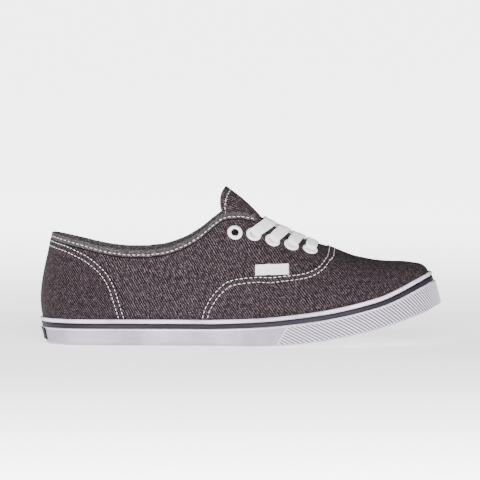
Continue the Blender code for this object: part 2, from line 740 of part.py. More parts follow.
def foxing_section(station):
    """The rubber band's cross-section: outer wall, groove, bead, then down the inside."""
    top = float(foxing_height(station))
    extra = wall_outward(station, top)
    bead_low = top - BEAD_HEIGHT
    groove_low = bead_low - STRIPE_HEIGHT - 2 * GAP
    outer = [
        (FOXING_CLEARANCE, -FOXING_FOOT_TUCK),
        (FOXING_CLEARANCE + FOXING_FOOT_TURN, 0.0),
        (groove_low, extra),
        (groove_low, extra - GROOVE_DEPTH),
        (bead_low, extra - GROOVE_DEPTH),
        (bead_low, extra + BEAD_PROUD),
        (top - BEAD_TURN, extra + BEAD_PROUD),
        (top, extra - BEAD_TUCK),
    ]
    ring = [rubber_point(np.array(station), h, d) for h, d in outer]
    ring += [upper_point(np.array(station), np.array(c), GAP) for c in row_climbs(station)[2::-1]]
    ring.append(rubber_point(np.array(station), FOXING_CLEARANCE, GAP - FOXING_THICKNESS))
    return ring


def build_foxing(finish):
    stations = stations_between(0, ROUND - 0.01)
    return add_object("foxing", ring_solid([foxing_section(s) for s in stations]), finish)


def band_ring(station, low, high, inside, outside):
    corners = ((low, inside), (low, outside), (high, outside), (high, inside))
    return [rubber_point(np.array(station), h, d) for h, d in corners]


def build_pinstripe(finish):
    """The dark rubber stripe that lies in the band's groove."""
    rings = []
    for station in stations_between(0, ROUND - 0.01):
        top = float(foxing_height(station))
        extra = wall_outward(station, top)
        high = top - BEAD_HEIGHT - GAP
        floor = extra - GROOVE_DEPTH + GAP
        rings.append(band_ring(station, high - STRIPE_HEIGHT, high, floor, floor + STRIPE_THICKNESS))
    return add_object("pinstripe", ring_solid(rings), finish)


def main_wall_top(station):
    """Height where the band's plain wall ends, below the groove."""
    return float(foxing_height(station)) - BEAD_HEIGHT - STRIPE_HEIGHT - 3 * GAP


def cover_section(station, low, thickness):
    """A strip of rubber glued over the plain wall."""
    high = main_wall_top(station)
    extra = wall_outward(station, float(foxing_height(station)))
    share = (low - FOXING_CLEARANCE) / (high - FOXING_CLEARANCE)
    rows = ((low, GAP + share * extra), (high, GAP + extra))
    place = np.array(station)
    inside = [rubber_point(place, h, d) for h, d in rows]
    outside = [rubber_point(place, h, d + thickness) for h, d in rows]
    return inside + outside[::-1]


def build_toe_bumper(finish):
    """The ribbed strip round the toe, with its ends cut on a slant."""
    stations = stations_between(BUMPER_START, other_side(BUMPER_START))
    rings = [cover_section(s, FOXING_CLEARANCE + BUMPER_LIFT, BUMPER_THICKNESS) for s in stations]
    for ring, neighbour in ((rings[0], rings[1]), (rings[-1], rings[-2])):
        for k in (1, 2):
            ring[k] = ring[k] + (neighbour[k] - ring[k]) * BUMPER_SLANT
    return add_object("toe_bumper", capped_sweep(rings), finish)


def build_heel_patch(finish):
    """The plain dark patch on the back of the heel."""
    halves = half_stations()
    widths = [-outline_at(s)[0][1] for s in halves]
    end = halves[int(np.searchsorted(widths[:8], PATCH_WIDTH / 2))]
    stations = stations_between(-end, end)
    rings = [cover_section(s, FOXING_CLEARANCE + PATCH_LIFT, PATCH_THICKNESS) for s in stations]
    return add_object("heel_patch", capped_sweep(rings), finish)


def side_prism(name, seam, full_height, far_along, finish):
    """A prism through the whole shoe, bounded by a seam's line in the side view."""
    corners = [(r.along * SHOE_LENGTH, r.up * full_height) for r in seam]
    corners = [(x, float(last_rise(x)) + z) for x, z in corners]
    corners += [(far_along * SHOE_LENGTH, corners[-1][1]), (far_along * SHOE_LENGTH, corners[0][1])]
    bm = bmesh.new()
    face = bm.faces.new([bm.verts.new((x, -BALL_WIDTH, z)) for x, z in corners])
    pushed = bmesh.ops.extrude_face_region(bm, geom=[face])["geom"]
    moved = [v for v in pushed if isinstance(v, bmesh.types.BMVert)]
    bmesh.ops.translate(bm, verts=moved, vec=(0, 2 * BALL_WIDTH, 0))
    return add_object(name, bm, finish, smooth=False)


def overlay(name, stations, low, high, thickness, finish):
    """A layer of cloth cut from the upper's own form between two edges."""
    outer = upper_grid(stations, low, high, GAP + thickness)
    inner = upper_grid(stations, low, high, GAP)
    met = [min(s, other_side(s)) >= THROAT_TIP - 1e-6 and b >= 1 for s, b in zip(stations, high)]
    open_top = [not (a and b) for a, b in zip(met, met[1:] + met[:1])]
    return add_object(name, grid_solid(outer, inner, False, open_top), finish)


def above_foxing(station):
    """The climb just above the rubber band's top edge."""
    return climb_at_height(station, float(foxing_height(station)) + 2 * GAP)


def build_vamp(finish):
    """The toe piece, sewn over the quarters."""
    stations = stations_between(VAMP_START, other_side(VAMP_START))
    low = [above_foxing(s) for s in stations]
    vamp = overlay("vamp", stations, low, [1.0] * len(stations), OVERLAY_THICKNESS, finish)
    outline = side_prism("vamp_outline", VAMP_SEAM, INSTEP_HEIGHT, PAST_TOE, finish)
    boolean(vamp, outline, "INTERSECT")
    return vamp


def build_heel_counter(finish):
    """The counter, sewn over the back of the quarters."""
    stations = stations_between(-COUNTER_END, COUNTER_END)
    low = [above_foxing(s) for s in stations]
    high = [climb_below_rim(s, BINDING_HEIGHT + GAP) for s in stations]
    counter = overlay("heel_counter", stations, low, high, OVERLAY_THICKNESS, finish)
    outline = side_prism("counter_outline", COUNTER_SEAM, COLLAR_HEIGHT, PAST_HEEL, finish)
    boolean(counter, outline, "INTERSECT")
    return counter


def build_binding(finish):
    """The folded edge that runs along the collar and over the top of both facings."""
    stations = stations_between(-BINDING_END, BINDING_END)
    high = [1 - 1e-6] * len(stations)
    low = [climb_below_rim(s, BINDING_HEIGHT) for s in stations]
    return overlay("collar_binding", stations, low, high, BINDING_THICKNESS, finish)


@lru_cache(maxsize=None)
def eyelet_place(number, inner_side):
    """Station, climb, centre and outward direction of an eyelet, the first at the top."""
    x = (EYELET_FIRST + number * EYELET_PITCH) * SHOE_LENGTH
    setback = EYELET_SETBACKS[number]
    halves = np.linspace(6.9, 9.3, 25)
    climbs = [climb_below_rim(s, setback) for s in halves]
    along = upper_point(halves, np.array(climbs))[:, 0]
    half = float(np.interp(x, along, halves))
    station = other_side(half) if inner_side else half
    climb = climb_below_rim(station, setback)
    place = upper_point(np.array(station), np.array(climb))
    return station, climb, place, upper_normal(np.array(station), np.array(climb))


def facing_matrix(place, normal):
    turn = Vector(normal).to_track_quat("Z", "Y").to_matrix().to_4x4()
    return Matrix.Translation(Vector(place)) @ turn


def build_upper(finish):
    stations = stations_between(0, ROUND - 0.01)
    outer = upper_grid(stations)
    inner = upper_grid(stations, lift=-UPPER_WALL)
    met = [min(s, other_side(s)) >= THROAT_TIP - 1e-6 for s in stations]
    open_top = [not (a and b) for a, b in zip(met, met[1:] + met[:1])]
    bm = grid_solid(outer, inner, True, open_top)
    upper = add_object("upper", bm, finish)
    cutter = bmesh.new()
    hole = EYELET_HOLE + EYELET_BARREL_WALL + GAP
    for inner_side in (False, True):
        for number in range(EYELET_COUNT):
            _, _, place, normal = eyelet_place(number, inner_side)
            bmesh.ops.create_cone(
                cutter, cap_ends=True, segments=EYELET_SIDES, radius1=hole, radius2=hole,
                depth=6 * UPPER_WALL, matrix=facing_matrix(place, normal),
            )
    boolean(upper, add_object("eyelet_holes", cutter, finish, smooth=False), "DIFFERENCE")
    return upper


def build_eyelets(finish):
    """Each eyelet is a turned ring: a rolled flange outside and a barrel through the cloth."""
    barrel_out = EYELET_HOLE + EYELET_BARREL_WALL
    top = EYELET_SEAT + EYELET_FLANGE_THICKNESS
    profile = [
        (EYELET_HOLE, -UPPER_WALL),
        (EYELET_HOLE, top),
        (EYELET_FLANGE - EYELET_LIP, top),
        (EYELET_FLANGE, EYELET_SEAT),
        (barrel_out, EYELET_SEAT),
        (barrel_out, -UPPER_WALL),
    ]
    made = []
    for inner_side, side in ((False, "outer"), (True, "inner")):
        for number in range(EYELET_COUNT):
            _, _, place, normal = eyelet_place(number, inner_side)
            bm = bmesh.new()
            ring = [bm.verts.new((r, 0, z)) for r, z in profile]
            edges = [bm.edges.new((a, b)) for a, b in zip(ring, ring[1:] + ring[:1])]
            bmesh.ops.spin(
                bm, geom=ring + edges, cent=(0, 0, 0), axis=(0, 0, 1),
                angle=2 * math.pi, steps=EYELET_SIDES, use_merge=True, use_duplicate=False,
            )
            bmesh.ops.remove_doubles(bm, verts=bm.verts, dist=1e-6)
            bmesh.ops.transform(bm, matrix=facing_matrix(place, normal), verts=bm.verts)
            made.append(add_object(f"eyelet_{side}_{number + 1}", bm, finish))
    return made


def tongue_crown(share):
    """The tongue's middle line in the shoe's side view."""
    shares = np.linspace(0, 1, len(TONGUE))
    x = pchip(shares, [row.along for row in TONGUE], share) * SHOE_LENGTH
    return np.array([x, pchip(shares, [row.up for row in TONGUE], share) * INSTEP_HEIGHT + last_rise(x)])


def tongue_point(share, angle, lift):
    """A point on the tongue: share runs to its top, angle is round its arch."""
    shares = np.linspace(0, 1, len(TONGUE))
    radius = float(pchip(shares, [row.radius for row in TONGUE], share)) * BALL_WIDTH
    way = tongue_crown(min(share + 0.01, 1.0)) - tongue_crown(max(share - 0.01, 0.0))
    way /= np.linalg.norm(way)
    crown = tongue_crown(share)
    reach = radius + lift
    drop = radius - reach * math.cos(angle)
    return crown[0] - way[1] * drop, reach * math.sin(angle), crown[1] + way[0] * drop


def build_tongue(finish):
    rows, across = TONGUE_ROWS, TONGUE_COLUMNS
    outer, inner = [], []
    for k in range(across):
        side = -1 + 2 * k / (across - 1)
        for grid, lift in ((outer, 0.0), (inner, -TONGUE_THICKNESS)):
            column = []
            for j in range(rows):
                share = j / (rows - 1) * (1 - TONGUE_EDGE_CURVE * side ** 4)
                widen = float(blend_between(0.4, 0.9, share))
                spread = TONGUE_HALF_ANGLE_LOW + (TONGUE_HALF_ANGLE_TOP - TONGUE_HALF_ANGLE_LOW) * widen
                column.append(tongue_point(share, side * spread, lift))
            grid.append(column)
    bm = grid_solid(np.array(outer), np.array(inner), False, [True] * across)
    return add_object("tongue", bm, finish)


def rim_station_at(x):
    """The outer side's station where the facing's edge is this far along."""
    halves = np.linspace(6.9, THROAT_TIP, 49)
    return float(np.interp(x, rim_at(halves)[:, 0], halves))


def lace_path(row, inner_side, lift_in_middle):
    """Middle line and up directions of one arm, from its eyelet over the tongue."""
    side = 1.0 if inner_side else -1.0
    station_a, climb_a, _, _ = eyelet_place(row.eyelet, inner_side)
    station_b = rim_station_at(row.over_edge * SHOE_LENGTH)
    station_b = other_side(station_b) if inner_side else station_b
    over_eyelet = EYELET_SEAT + EYELET_FLANGE_THICKNESS + GAP + LACE_THICKNESS / 2
    over_edge = LACE_THICKNESS / 2 + LACE_EDGE_LIFT
    points, ups = [], []
    for share in LACE_SHARES:
        station = np.array(station_a + (station_b - station_a) * share)
        climb = np.array(climb_a + (1 - climb_a) * share)
        lift = over_eyelet + (over_edge - over_eyelet) * blend_between(0.25, 1.0, share)
        points.append(upper_point(station, climb, lift))
        ups.append(upper_normal(station, climb))
    x = row.along * SHOE_LENGTH
    slope = float(ridge_slope(np.array(rim_station_at(x))))
    up = np.array([-slope, 0.0, 1.0]) / math.hypot(slope, 1.0)
    centre = np.array([x, 0.0, last_rise(x) + row.up * INSTEP_HEIGHT]) + up * lift_in_middle
    near = points[-1] + (centre - points[-1]) * LACE_NEAR_MIDDLE
    points.append(near + up * LACE_CREST)
    points.append(centre)
    ups += [up, up]
    if row.crossed:
        far_x = x + LACE_DIVE_SLANT * (x - row.over_edge * SHOE_LENGTH)
        far = rim_at(np.array(rim_station_at(far_x)))
        stop = -side * (abs(far[1]) - LACE_END_SHORT)
        step = (centre - points[-3]) / abs(points[-3][1])
        end = centre + step * abs(stop)
        end[1] = stop
        end[2] = min(end[2], far[2] - 0.5 * LACE_THICKNESS)
        points.append(end)
        ups.append(up)
    return points, ups


def flat_sections(points, ups, width, thickness):
    """Flat cross-sections along a path."""
    sections = []
    for k, point in enumerate(points):
        ahead = points[min(k + 1, len(points) - 1)] - points[max(k - 1, 0)]
        ahead = ahead / np.linalg.norm(ahead)
        up = ups[k] - ahead * (ups[k] @ ahead)
        up /= np.linalg.norm(up)
        side = np.cross(ahead, up) * width / 2
        thick = up * thickness / 2
        corners = (-side - thick, side - thick, side + thick, -side + thick)
        sections.append([point + corner for corner in corners])
    return sections


def build_laces(finish):
    """Three crossings of flat lace and the straight bar below them."""
    for row in LACING:
        if row.crossed:
            half = LACE_CROSS * LACE_THICKNESS
            arms = [lace_path(row, False, half), lace_path(row, True, -half)]
            bars = [capped_sweep(flat_sections(*arm, LACE_WIDTH, LACE_THICKNESS)) for arm in arms]
            crossing = add_object(f"lace_crossing_{row.name}", bars[0], finish, smooth=False)
            under = add_object(f"lace_under_{row.name}", bars[1], finish, smooth=False)
            boolean(crossing, under, "UNION")
            continue
        points, ups = lace_path(row, False, 0.0)
        far_points, far_ups = lace_path(row, True, 0.0)
        points += far_points[-2::-1]
        ups += far_ups[-2::-1]
        bar = capped_sweep(flat_sections(points, ups, LACE_WIDTH, LACE_THICKNESS))
        add_object(f"lace_bar_{row.name}", bar, finish, smooth=False)


def build_label(finish):
    """The small blank cloth label at the edge of the facing, on the outer side."""
    middle_x, middle_z = LABEL_ALONG * SHOE_LENGTH, LABEL_UP * INSTEP_HEIGHT
    station, climb = surface_at(middle_x, middle_z, 7.8, 0.6)
    columns = []
    for x in np.linspace(-0.5, 0.5, LABEL_COLUMNS) * LABEL_LENGTH:
        column = []
        for z in np.linspace(-0.5, 0.5, LABEL_ROWS) * LABEL_HEIGHT:
            column.append(surface_at(middle_x + x, middle_z + z + LABEL_RISE * x, station, climb))
        columns.append(column)
    places = np.array(columns)
    grids = [
        upper_point(places[..., 0], places[..., 1], np.full(places.shape[:2], lift))
        for lift in (GAP + LABEL_THICKNESS, GAP)
    ]
    bm = grid_solid(*grids, False, [True] * len(columns))
    return add_object("side_label", bm, finish)


def centre_on_floor():
    """Puts the middle of the shoe's box over the origin, with its lowest point at the floor."""
    bpy.context.view_layer.update()
    graph = bpy.context.evaluated_depsgraph_get()
    shown = [o for o in bpy.data.objects if o.type == "MESH" and not o.hide_render]
    corners = [o.matrix_world @ Vector(c) for o in shown for c in o.evaluated_get(graph).bound_box]
    low = [min(c[k] for c in corners) for k in range(3)]
    high = [max(c[k] for c in corners) for k in range(3)]
    shift = Vector((-(low[0] + high[0]) / 2, -(low[1] + high[1]) / 2, -low[2]))
    for o in [o for o in bpy.data.objects if o.type == "MESH"]:
        o.data.transform(Matrix.Translation(shift))
    return shift


def main():
    for old in list(bpy.data.objects):
        bpy.data.objects.remove(old)
    canvas = material("canvas", (0.085, 0.068, 0.075), 0.9)
    lining = material("lining", (0.42, 0.40, 0.38), 0.9)
    rubber = material("white_rubber", (0.72, 0.70, 0.73), 0.45)
    dark_rubber = material("dark_rubber", (0.055, 0.05, 0.06), 0.5)
    lace = material("lace", (0.88, 0.84, 0.86), 0.85)
    enamel = material("eyelet_enamel", (0.86, 0.83, 0.85), 0.35)
    build_outsole(rubber)
    build_foxing(rubber)
    build_pinstripe(dark_rubber)
    build_toe_bumper(rubber)
    build_heel_patch(dark_rubber)
    build_insole(lining)
    build_upper(canvas)
    build_vamp(canvas)
    build_heel_counter(canvas)
    build_binding(canvas)
    build_tongue(canvas)
    build_eyelets(enamel)
    build_laces(lace)
    build_label(lace)
    centre_on_floor()


main()
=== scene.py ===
# %% [markdown]
# # A low canvas skate shoe, dressed over its CAD frame
# The CAD part gives every piece of the shoe its place: the rubber sole and the band
# round it, the hollow canvas upper, the tongue, the eyelets, the lace. This script keeps
# those places and gives each piece the surface that the hand and the eye know: twill
# cloth, turned edges, stitches, rubber with a lip and a bead, enamelled rings.
# The frame is loaded first, because nothing here is fitted by eye.

# %% Load the frame
import math

import bmesh
import bpy
import numpy as np
from mathutils import Matrix, Vector


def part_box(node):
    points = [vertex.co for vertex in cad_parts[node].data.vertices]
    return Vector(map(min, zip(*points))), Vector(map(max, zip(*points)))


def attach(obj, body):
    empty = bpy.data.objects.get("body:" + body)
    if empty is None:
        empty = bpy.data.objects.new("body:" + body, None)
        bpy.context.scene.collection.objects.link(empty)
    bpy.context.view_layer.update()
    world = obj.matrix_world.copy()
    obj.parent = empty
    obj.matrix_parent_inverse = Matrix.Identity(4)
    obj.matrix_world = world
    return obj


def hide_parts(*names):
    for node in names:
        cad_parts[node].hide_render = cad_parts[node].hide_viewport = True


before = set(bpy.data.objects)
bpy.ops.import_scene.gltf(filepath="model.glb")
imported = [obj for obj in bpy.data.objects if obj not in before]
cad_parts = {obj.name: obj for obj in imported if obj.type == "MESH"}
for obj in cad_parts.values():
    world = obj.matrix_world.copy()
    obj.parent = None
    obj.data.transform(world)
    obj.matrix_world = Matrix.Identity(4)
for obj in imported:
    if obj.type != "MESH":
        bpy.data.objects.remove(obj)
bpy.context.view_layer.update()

# %% [markdown]
# ## The camera
# A catalogue picture of a shoe is taken from its outer side with a long lens, so that the
# toe isn't bigger than the heel. The camera stands 8 m away and looks down by 3.5
# degrees. A short lens close by would fit the same shoe in the picture, but it would show
# far more of the toe's top than the real picture does.

# %% Camera
VIEW_TARGET = Vector((-0.0003, 0.0, 0.0709))
VIEW_DISTANCE = 8.0
VIEW_WIDTH = 0.3312
VIEW_ELEVATION = math.radians(3.5)

lens = bpy.data.cameras.new("side_camera")
lens.sensor_width = 36.0
lens.lens = lens.sensor_width * VIEW_DISTANCE / VIEW_WIDTH
lens.clip_start = 0.05
lens.clip_end = 100.0
camera = bpy.data.objects.new("side_camera", lens)
bpy.context.scene.collection.objects.link(camera)
away = Vector((0.0, -math.cos(VIEW_ELEVATION), math.sin(VIEW_ELEVATION)))
camera.location = VIEW_TARGET + away * VIEW_DISTANCE
camera.rotation_euler = (math.pi / 2 - VIEW_ELEVATION, 0.0, 0.0)
bpy.context.scene.camera = camera
print("lens in mm:", round(lens.lens, 1))

# %% [markdown]
# ## The floor and the light
# The picture has a white ground and no hard shadow, and the shoe's sides are a little
# brighter than its top. A light table does that: the floor is white and dim under the
# shoe, and glows further out. Three broad lamps and a pale sky fill in the rest.

# %% Floor and lamps
FLOOR_RADIUS = 14.0
SKY_STRENGTH = 0.17

bm = bmesh.new()
bmesh.ops.create_circle(bm, cap_ends=True, segments=96, radius=FLOOR_RADIUS)
floor_mesh = bpy.data.meshes.new("studio_floor")
bm.to_mesh(floor_mesh)
bm.free()
floor = bpy.data.objects.new("studio_floor", floor_mesh)
bpy.context.scene.collection.objects.link(floor)


def lamp(name, place, size, power):
    """A soft square lamp that faces the shoe."""
    light = bpy.data.lights.new(name, "AREA")
    light.shape = "SQUARE"
    light.size = size
    light.energy = power
    holder = bpy.data.objects.new(name, light)
    bpy.context.scene.collection.objects.link(holder)
    holder.location = place
    holder.rotation_euler = (VIEW_TARGET - Vector(place)).to_track_quat("-Z", "Y").to_euler()


lamp("top_lamp", (-0.3, -0.7, 1.6), 1.2, 1.5)
lamp("front_lamp", (0.10, -2.0, 0.55), 1.1, 96.0)
lamp("back_lamp", (-1.7, 0.8, 0.6), 1.2, 46.0)

sky = bpy.data.worlds.new("studio_sky")
sky.use_nodes = True
air = sky.node_tree.nodes["Background"].inputs
air["Color"].default_value = (1.0, 1.0, 1.0, 1.0)
air["Strength"].default_value = SKY_STRENGTH
bpy.context.scene.world = sky

# %% [markdown]
# ## A short way to write materials
# A material is a small sum: a height for the bump, a colour that depends on that height,
# a roughness. Nodes say the same with dozens of boxes and wires. One class wraps a
# node's output, so that `height * 0.5 + grain` adds the Math nodes itself, and one
# method makes any other node.


# %% Materials as sums
class Value:
    """The output of a node, ready for sums."""

    def __init__(self, finish, socket):
        self.finish = finish
        self.socket = socket

    def math(self, operation, *others, clamp=False):
        settings = {"operation": operation, "use_clamp": clamp}
        return self.finish.node("Math", settings, dict(enumerate((self, *others))))

    def __add__(self, other):
        return self.math("ADD", other)

    def __sub__(self, other):
        return self.math("SUBTRACT", other)

    def __rsub__(self, other):
        return (self * -1.0) + other

    def __mul__(self, other):
        return self.math("MULTIPLY", other)

    def __truediv__(self, other):
        return self.math("DIVIDE", other)

    def wave(self, pitch=1.0):
        """A sine from -1 to 1 that repeats every pitch."""
        return (self * (2 * math.pi / pitch)).math("SINE")

    __radd__ = __add__
    __rmul__ = __mul__


class Finish:
    """A material whose nodes are made by calls."""

    def __init__(self, name, roughness=0.6, **constants):
        self.material = bpy.data.materials.new(name)
        self.material.use_nodes = True
        self.tree = self.material.node_tree
        self.surface = self.tree.nodes["Principled BSDF"]
        self.set("Roughness", roughness)
        for socket, number in constants.items():
            self.set(socket.replace("_", " "), number)

    def node(self, kind, settings=(), inputs=(), output=0):
        """Makes any node: its settings first, then the values or links of its sockets."""
        made = self.tree.nodes.new("ShaderNode" + kind)
        for name, setting in dict(settings).items():
            setattr(made, name, setting)
        for name, value in dict(inputs).items():
            if isinstance(value, Value):
                self.tree.links.new(value.socket, made.inputs[name])
            else:
                made.inputs[name].default_value = value
        return Value(self, made.outputs[output])

    def set(self, socket, value):
        """Gives the surface's socket a number, a colour or a link."""
        if isinstance(value, Value):
            self.tree.links.new(value.socket, self.surface.inputs[socket])
        else:
            self.surface.inputs[socket].default_value = value

    def axes(self, source, names="XYZ"):
        """The separate numbers of a place."""
        parts = [self.node("SeparateXYZ", {}, {0: source}, k) for k in range(3)]
        return [part for part, name in zip(parts, "XYZ") if name in names]

    def place(self):
        """Where the point is on the shoe, in metres."""
        return self.node("TexCoord", {}, {}, 3)

    def cloth(self):
        """Where the point is on the cloth before it was sewn, in metres."""
        return self.node("UVMap", {"uv_map": "cloth"})

    def noise(self, where, per_metre, detail=2.0, roughness=0.5):
        """Noise from 0 to 1, with so many blots to a metre."""
        inputs = {"Vector": where, "Scale": per_metre, "Detail": detail, "Roughness": roughness}
        return self.node("TexNoise", {}, inputs)

    def band(self, value, low, high):
        """0 below low, 1 above high, and a soft step between."""
        inputs = {0: value, 1: low, 2: high, 3: 0.0, 4: 1.0}
        return self.node("MapRange", {"interpolation_type": "SMOOTHSTEP"}, inputs)

    def blend(self, share, first, second, way="MIX"):
        """One colour turning into another."""
        colours = [c if isinstance(c, Value) else (*c, 1.0) for c in (first, second)]
        inputs = {0: share, 6: colours[0], 7: colours[1]}
        return self.node("Mix", {"data_type": "RGBA", "blend_type": way}, inputs, 2)

    def paint(self, share, first, second):
        """Colours the surface between two colours."""
        self.set("Base Color", self.blend(share, first, second))

    def relief(self, height, depth):
        """Bends the light as if the surface stood up by height times depth."""
        inputs = {"Height": height, "Distance": depth, "Strength": 1.0}
        self.set("Normal", self.node("Bump", {}, inputs))


floor_paint = Finish("studio_paper", roughness=0.9)
grain = floor_paint.noise(floor_paint.place(), 6.0)
floor_paint.paint(grain, (0.93, 0.93, 0.93), (0.96, 0.96, 0.96))
x, y = floor_paint.axes(floor_paint.place(), "XY")
far = floor_paint.band((x * x + y * y).math("SQRT"), 0.12, 1.5)
floor_paint.set("Emission Color", floor_paint.blend(far, (0.30, 0.30, 0.30), (1.0, 1.0, 1.0)))
floor_paint.set("Emission Strength", 4.6)
floor.data.materials.append(floor_paint.material)
print("floor and lamps ready")

# %% [markdown]
# ## The last: the form that everything is pulled over
# A shoemaker pulls the upper over a wooden last. Here the last is a sum: a station that
# walks round the shoe, from the middle of the heel along the outer side to the toe and
# back along the inner side, and a climb from the sole (0) to the edge of the opening or
# the ridge of the toe (1). Every piece of cloth is then a sheet whose points ask the last
# where they lie, which keeps panels, stitches and folds exactly on each other. Modelling
# each panel by hand would never make them meet so well.

# %% Named sizes and the tables of the last
LENGTH = 0.275
BALL_WIDTH = 0.099
HEEL_WIDTH = 0.070
COLLAR_HEIGHT = 0.0762
INSTEP_HEIGHT = 0.0908
TOE_HEIGHT = 0.0346
TOE_SPRING = 0.0265
SPRING_START = 0.53
SOLE = 0.0070
BAND_WALL = 0.0034
BAND_HEEL, BAND_BALL, BAND_TOE = 0.0182, 0.0208, 0.0238
HEEL_UNDERCUT = 0.0032
GAP = 0.0003

# the sole's outline from heel to toe: along, outer half width, inner half width
OUTLINE = np.array([
    (0.0000, 0.000, 0.000), (0.0127, 0.250, 0.250), (0.0618, 0.436, 0.436),
    (0.1382, 0.497, 0.494), (0.2327, 0.509, 0.489), (0.3345, 0.500, 0.443),
    (0.4364, 0.490, 0.396), (0.5345, 0.488, 0.392), (0.6291, 0.493, 0.420),
    (0.7200, 0.501, 0.459), (0.8073, 0.485, 0.481), (0.8873, 0.414, 0.461),
    (0.9527, 0.289, 0.380), (0.9927, 0.121, 0.242), (1.0000, -0.056, 0.056),
])
TOE = len(OUTLINE) - 1
ROUND = 2 * TOE

# the edge of the opening, then the toe's ridge: station, along, middle, half gap, height
RIM = np.array([
    (0.00, 0.0276, 0.000, 0.0000, 1.000), (0.50, 0.0298, 0.000, 0.0566, 0.999),
    (1.00, 0.0371, 0.000, 0.1111, 0.993), (1.50, 0.0516, 0.000, 0.1576, 0.980),
    (2.00, 0.0727, 0.000, 0.1939, 0.961), (2.50, 0.1055, 0.000, 0.2242, 0.932),
    (3.00, 0.1400, 0.000, 0.2424, 0.900), (3.50, 0.1818, 0.000, 0.2525, 0.871),
    (4.00, 0.2255, 0.000, 0.2576, 0.857), (4.50, 0.2691, 0.000, 0.2586, 0.857),
    (5.00, 0.3127, 0.000, 0.2566, 0.839), (5.50, 0.3527, 0.000, 0.2505, 0.848),
    (6.00, 0.3909, 0.000, 0.2404, 0.879), (6.50, 0.4291, 0.000, 0.2222, 0.936),
    (6.85, 0.4545, 0.000, 0.2081, 0.989), (7.10, 0.4709, 0.000, 0.1939, 1.000),
    (7.40, 0.4945, 0.000, 0.1697, 1.000), (7.70, 0.5309, 0.000, 0.1394, 0.978),
    (8.00, 0.5673, 0.000, 0.1172, 0.916), (8.50, 0.6291, 0.001, 0.0859, 0.809),
    (8.85, 0.6691, 0.003, 0.0657, 0.743), (9.10, 0.6945, 0.004, 0.0505, 0.702),
    (9.22, 0.7055, 0.004, 0.0384, 0.687), (9.30, 0.7113, 0.005, 0.0212, 0.680),
    (9.34, 0.7135, 0.005, 0.0000, 0.676), (9.60, 0.7309, 0.007, 0.0000, 0.644),
    (10.0, 0.7600, 0.012, 0.0000, 0.590), (10.5, 0.7927, 0.017, 0.0000, 0.530),
    (11.0, 0.8218, 0.022, 0.0000, 0.486), (12.0, 0.8655, 0.030, 0.0000, 0.436),
    (13.0, 0.8982, 0.036, 0.0000, 0.405), (14.0, 0.9200, 0.040, 0.0000, 0.381),
])
THROAT = 9.34

# how each wall bends between sole and rim: station, rise, bulge, reach, drop
WALL = np.array([
    (0.00, 0.35, 0.114, 0.036, 0.35), (2.00, 0.35, 0.068, 0.040, 0.35),
    (4.00, 0.35, 0.042, 0.045, 0.33), (5.50, 0.36, 0.038, 0.060, 0.30),
    (6.50, 0.38, 0.038, 0.090, 0.27), (7.10, 0.40, 0.038, 0.116, 0.26),
    (7.70, 0.42, 0.036, 0.141, 0.22), (8.50, 0.46, 0.032, 0.177, 0.15),
    (9.10, 0.50, 0.030, 0.202, 0.07), (9.34, 0.52, 0.030, 0.222, 0.03),
    (9.60, 0.54, 0.030, 0.232, 0.00), (10.5, 0.60, 0.028, 0.242, 0.00),
    (11.5, 0.66, 0.028, 0.225, 0.00), (12.5, 0.72, 0.034, 0.175, 0.00),
    (14.0, 0.76, 0.040, 0.145, 0.00),
])


# %% Curves through a table
def through(knots, values, at):
    """A smooth curve through a table's values that never swings past them."""
    knots, values = np.asarray(knots, float), np.asarray(values, float)
    step = np.diff(knots)
    rise = np.diff(values) / step
    slope = np.zeros(len(knots))
    near, far = 2 * step[1:] + step[:-1], step[1:] + 2 * step[:-1]
    with np.errstate(divide="ignore", invalid="ignore"):
        mean = (near + far) / (near / rise[:-1] + far / rise[1:])
    slope[1:-1] = np.where(rise[:-1] * rise[1:] > 0, mean, 0.0)
    slope[0], slope[-1] = rise[0], rise[-1]
    at = np.clip(np.asarray(at, float), knots[0], knots[-1])
    k = np.clip(np.searchsorted(knots, at, side="right") - 1, 0, len(step) - 1)
    t = (at - knots[k]) / step[k]
    pull_a, pull_b = slope[k] * step[k], slope[k + 1] * step[k]
    ends = values[k] * (1 + 2 * t) * (1 - t) ** 2 + values[k + 1] * t * t * (3 - 2 * t)
    return ends + pull_a * t * (1 - t) ** 2 - pull_b * t * t * (1 - t)


def soft_step(start, end, at):
    """0 before start, 1 after end, and a soft turn between."""
    t = np.clip((np.asarray(at, float) - start) / (end - start), 0, 1)
    return t * t * (3 - 2 * t)


def spread(*values):
    """The values as arrays of one shape."""
    return np.broadcast_arrays(*(np.asarray(value, float) for value in values))


def unit(vectors):
    """The vectors with a length of 1."""
    return vectors / np.linalg.norm(vectors, axis=-1, keepdims=True)


def run_along(places):
    """How far each place lies along the line through them all."""
    return np.concatenate([[0], np.cumsum(np.linalg.norm(np.diff(places, axis=0), axis=1))])


# %% The sole's outline and its lift at the toe
def spring_share(x):
    """Share of the way from where the sole leaves the floor to the toe."""
    return np.clip((np.asarray(x, float) / LENGTH - SPRING_START) / (1 - SPRING_START), 0, 1.05)


def sole_rise(x):
    """Height of the sole's underside over the floor."""
    t = spring_share(x)
    return TOE_SPRING * (1.10 * t * t - 0.10 * t ** 3)


def last_rise(x):
    """Height that the cloth's tables count from, which leaves the floor sooner than the sole."""
    t = spring_share(x)
    return TOE_SPRING * (1.65 * t * t - 0.65 * t ** 3)


def sole_normal(x):
    """The direction square to the sole, which leans back where the toe lifts."""
    reach = 0.001 * LENGTH
    slope = (sole_rise(x + reach) - sole_rise(x - reach)) / (2 * reach)
    length = np.sqrt(1 + slope * slope)
    return np.stack([-slope / length, np.zeros_like(slope), 1 / length], -1)


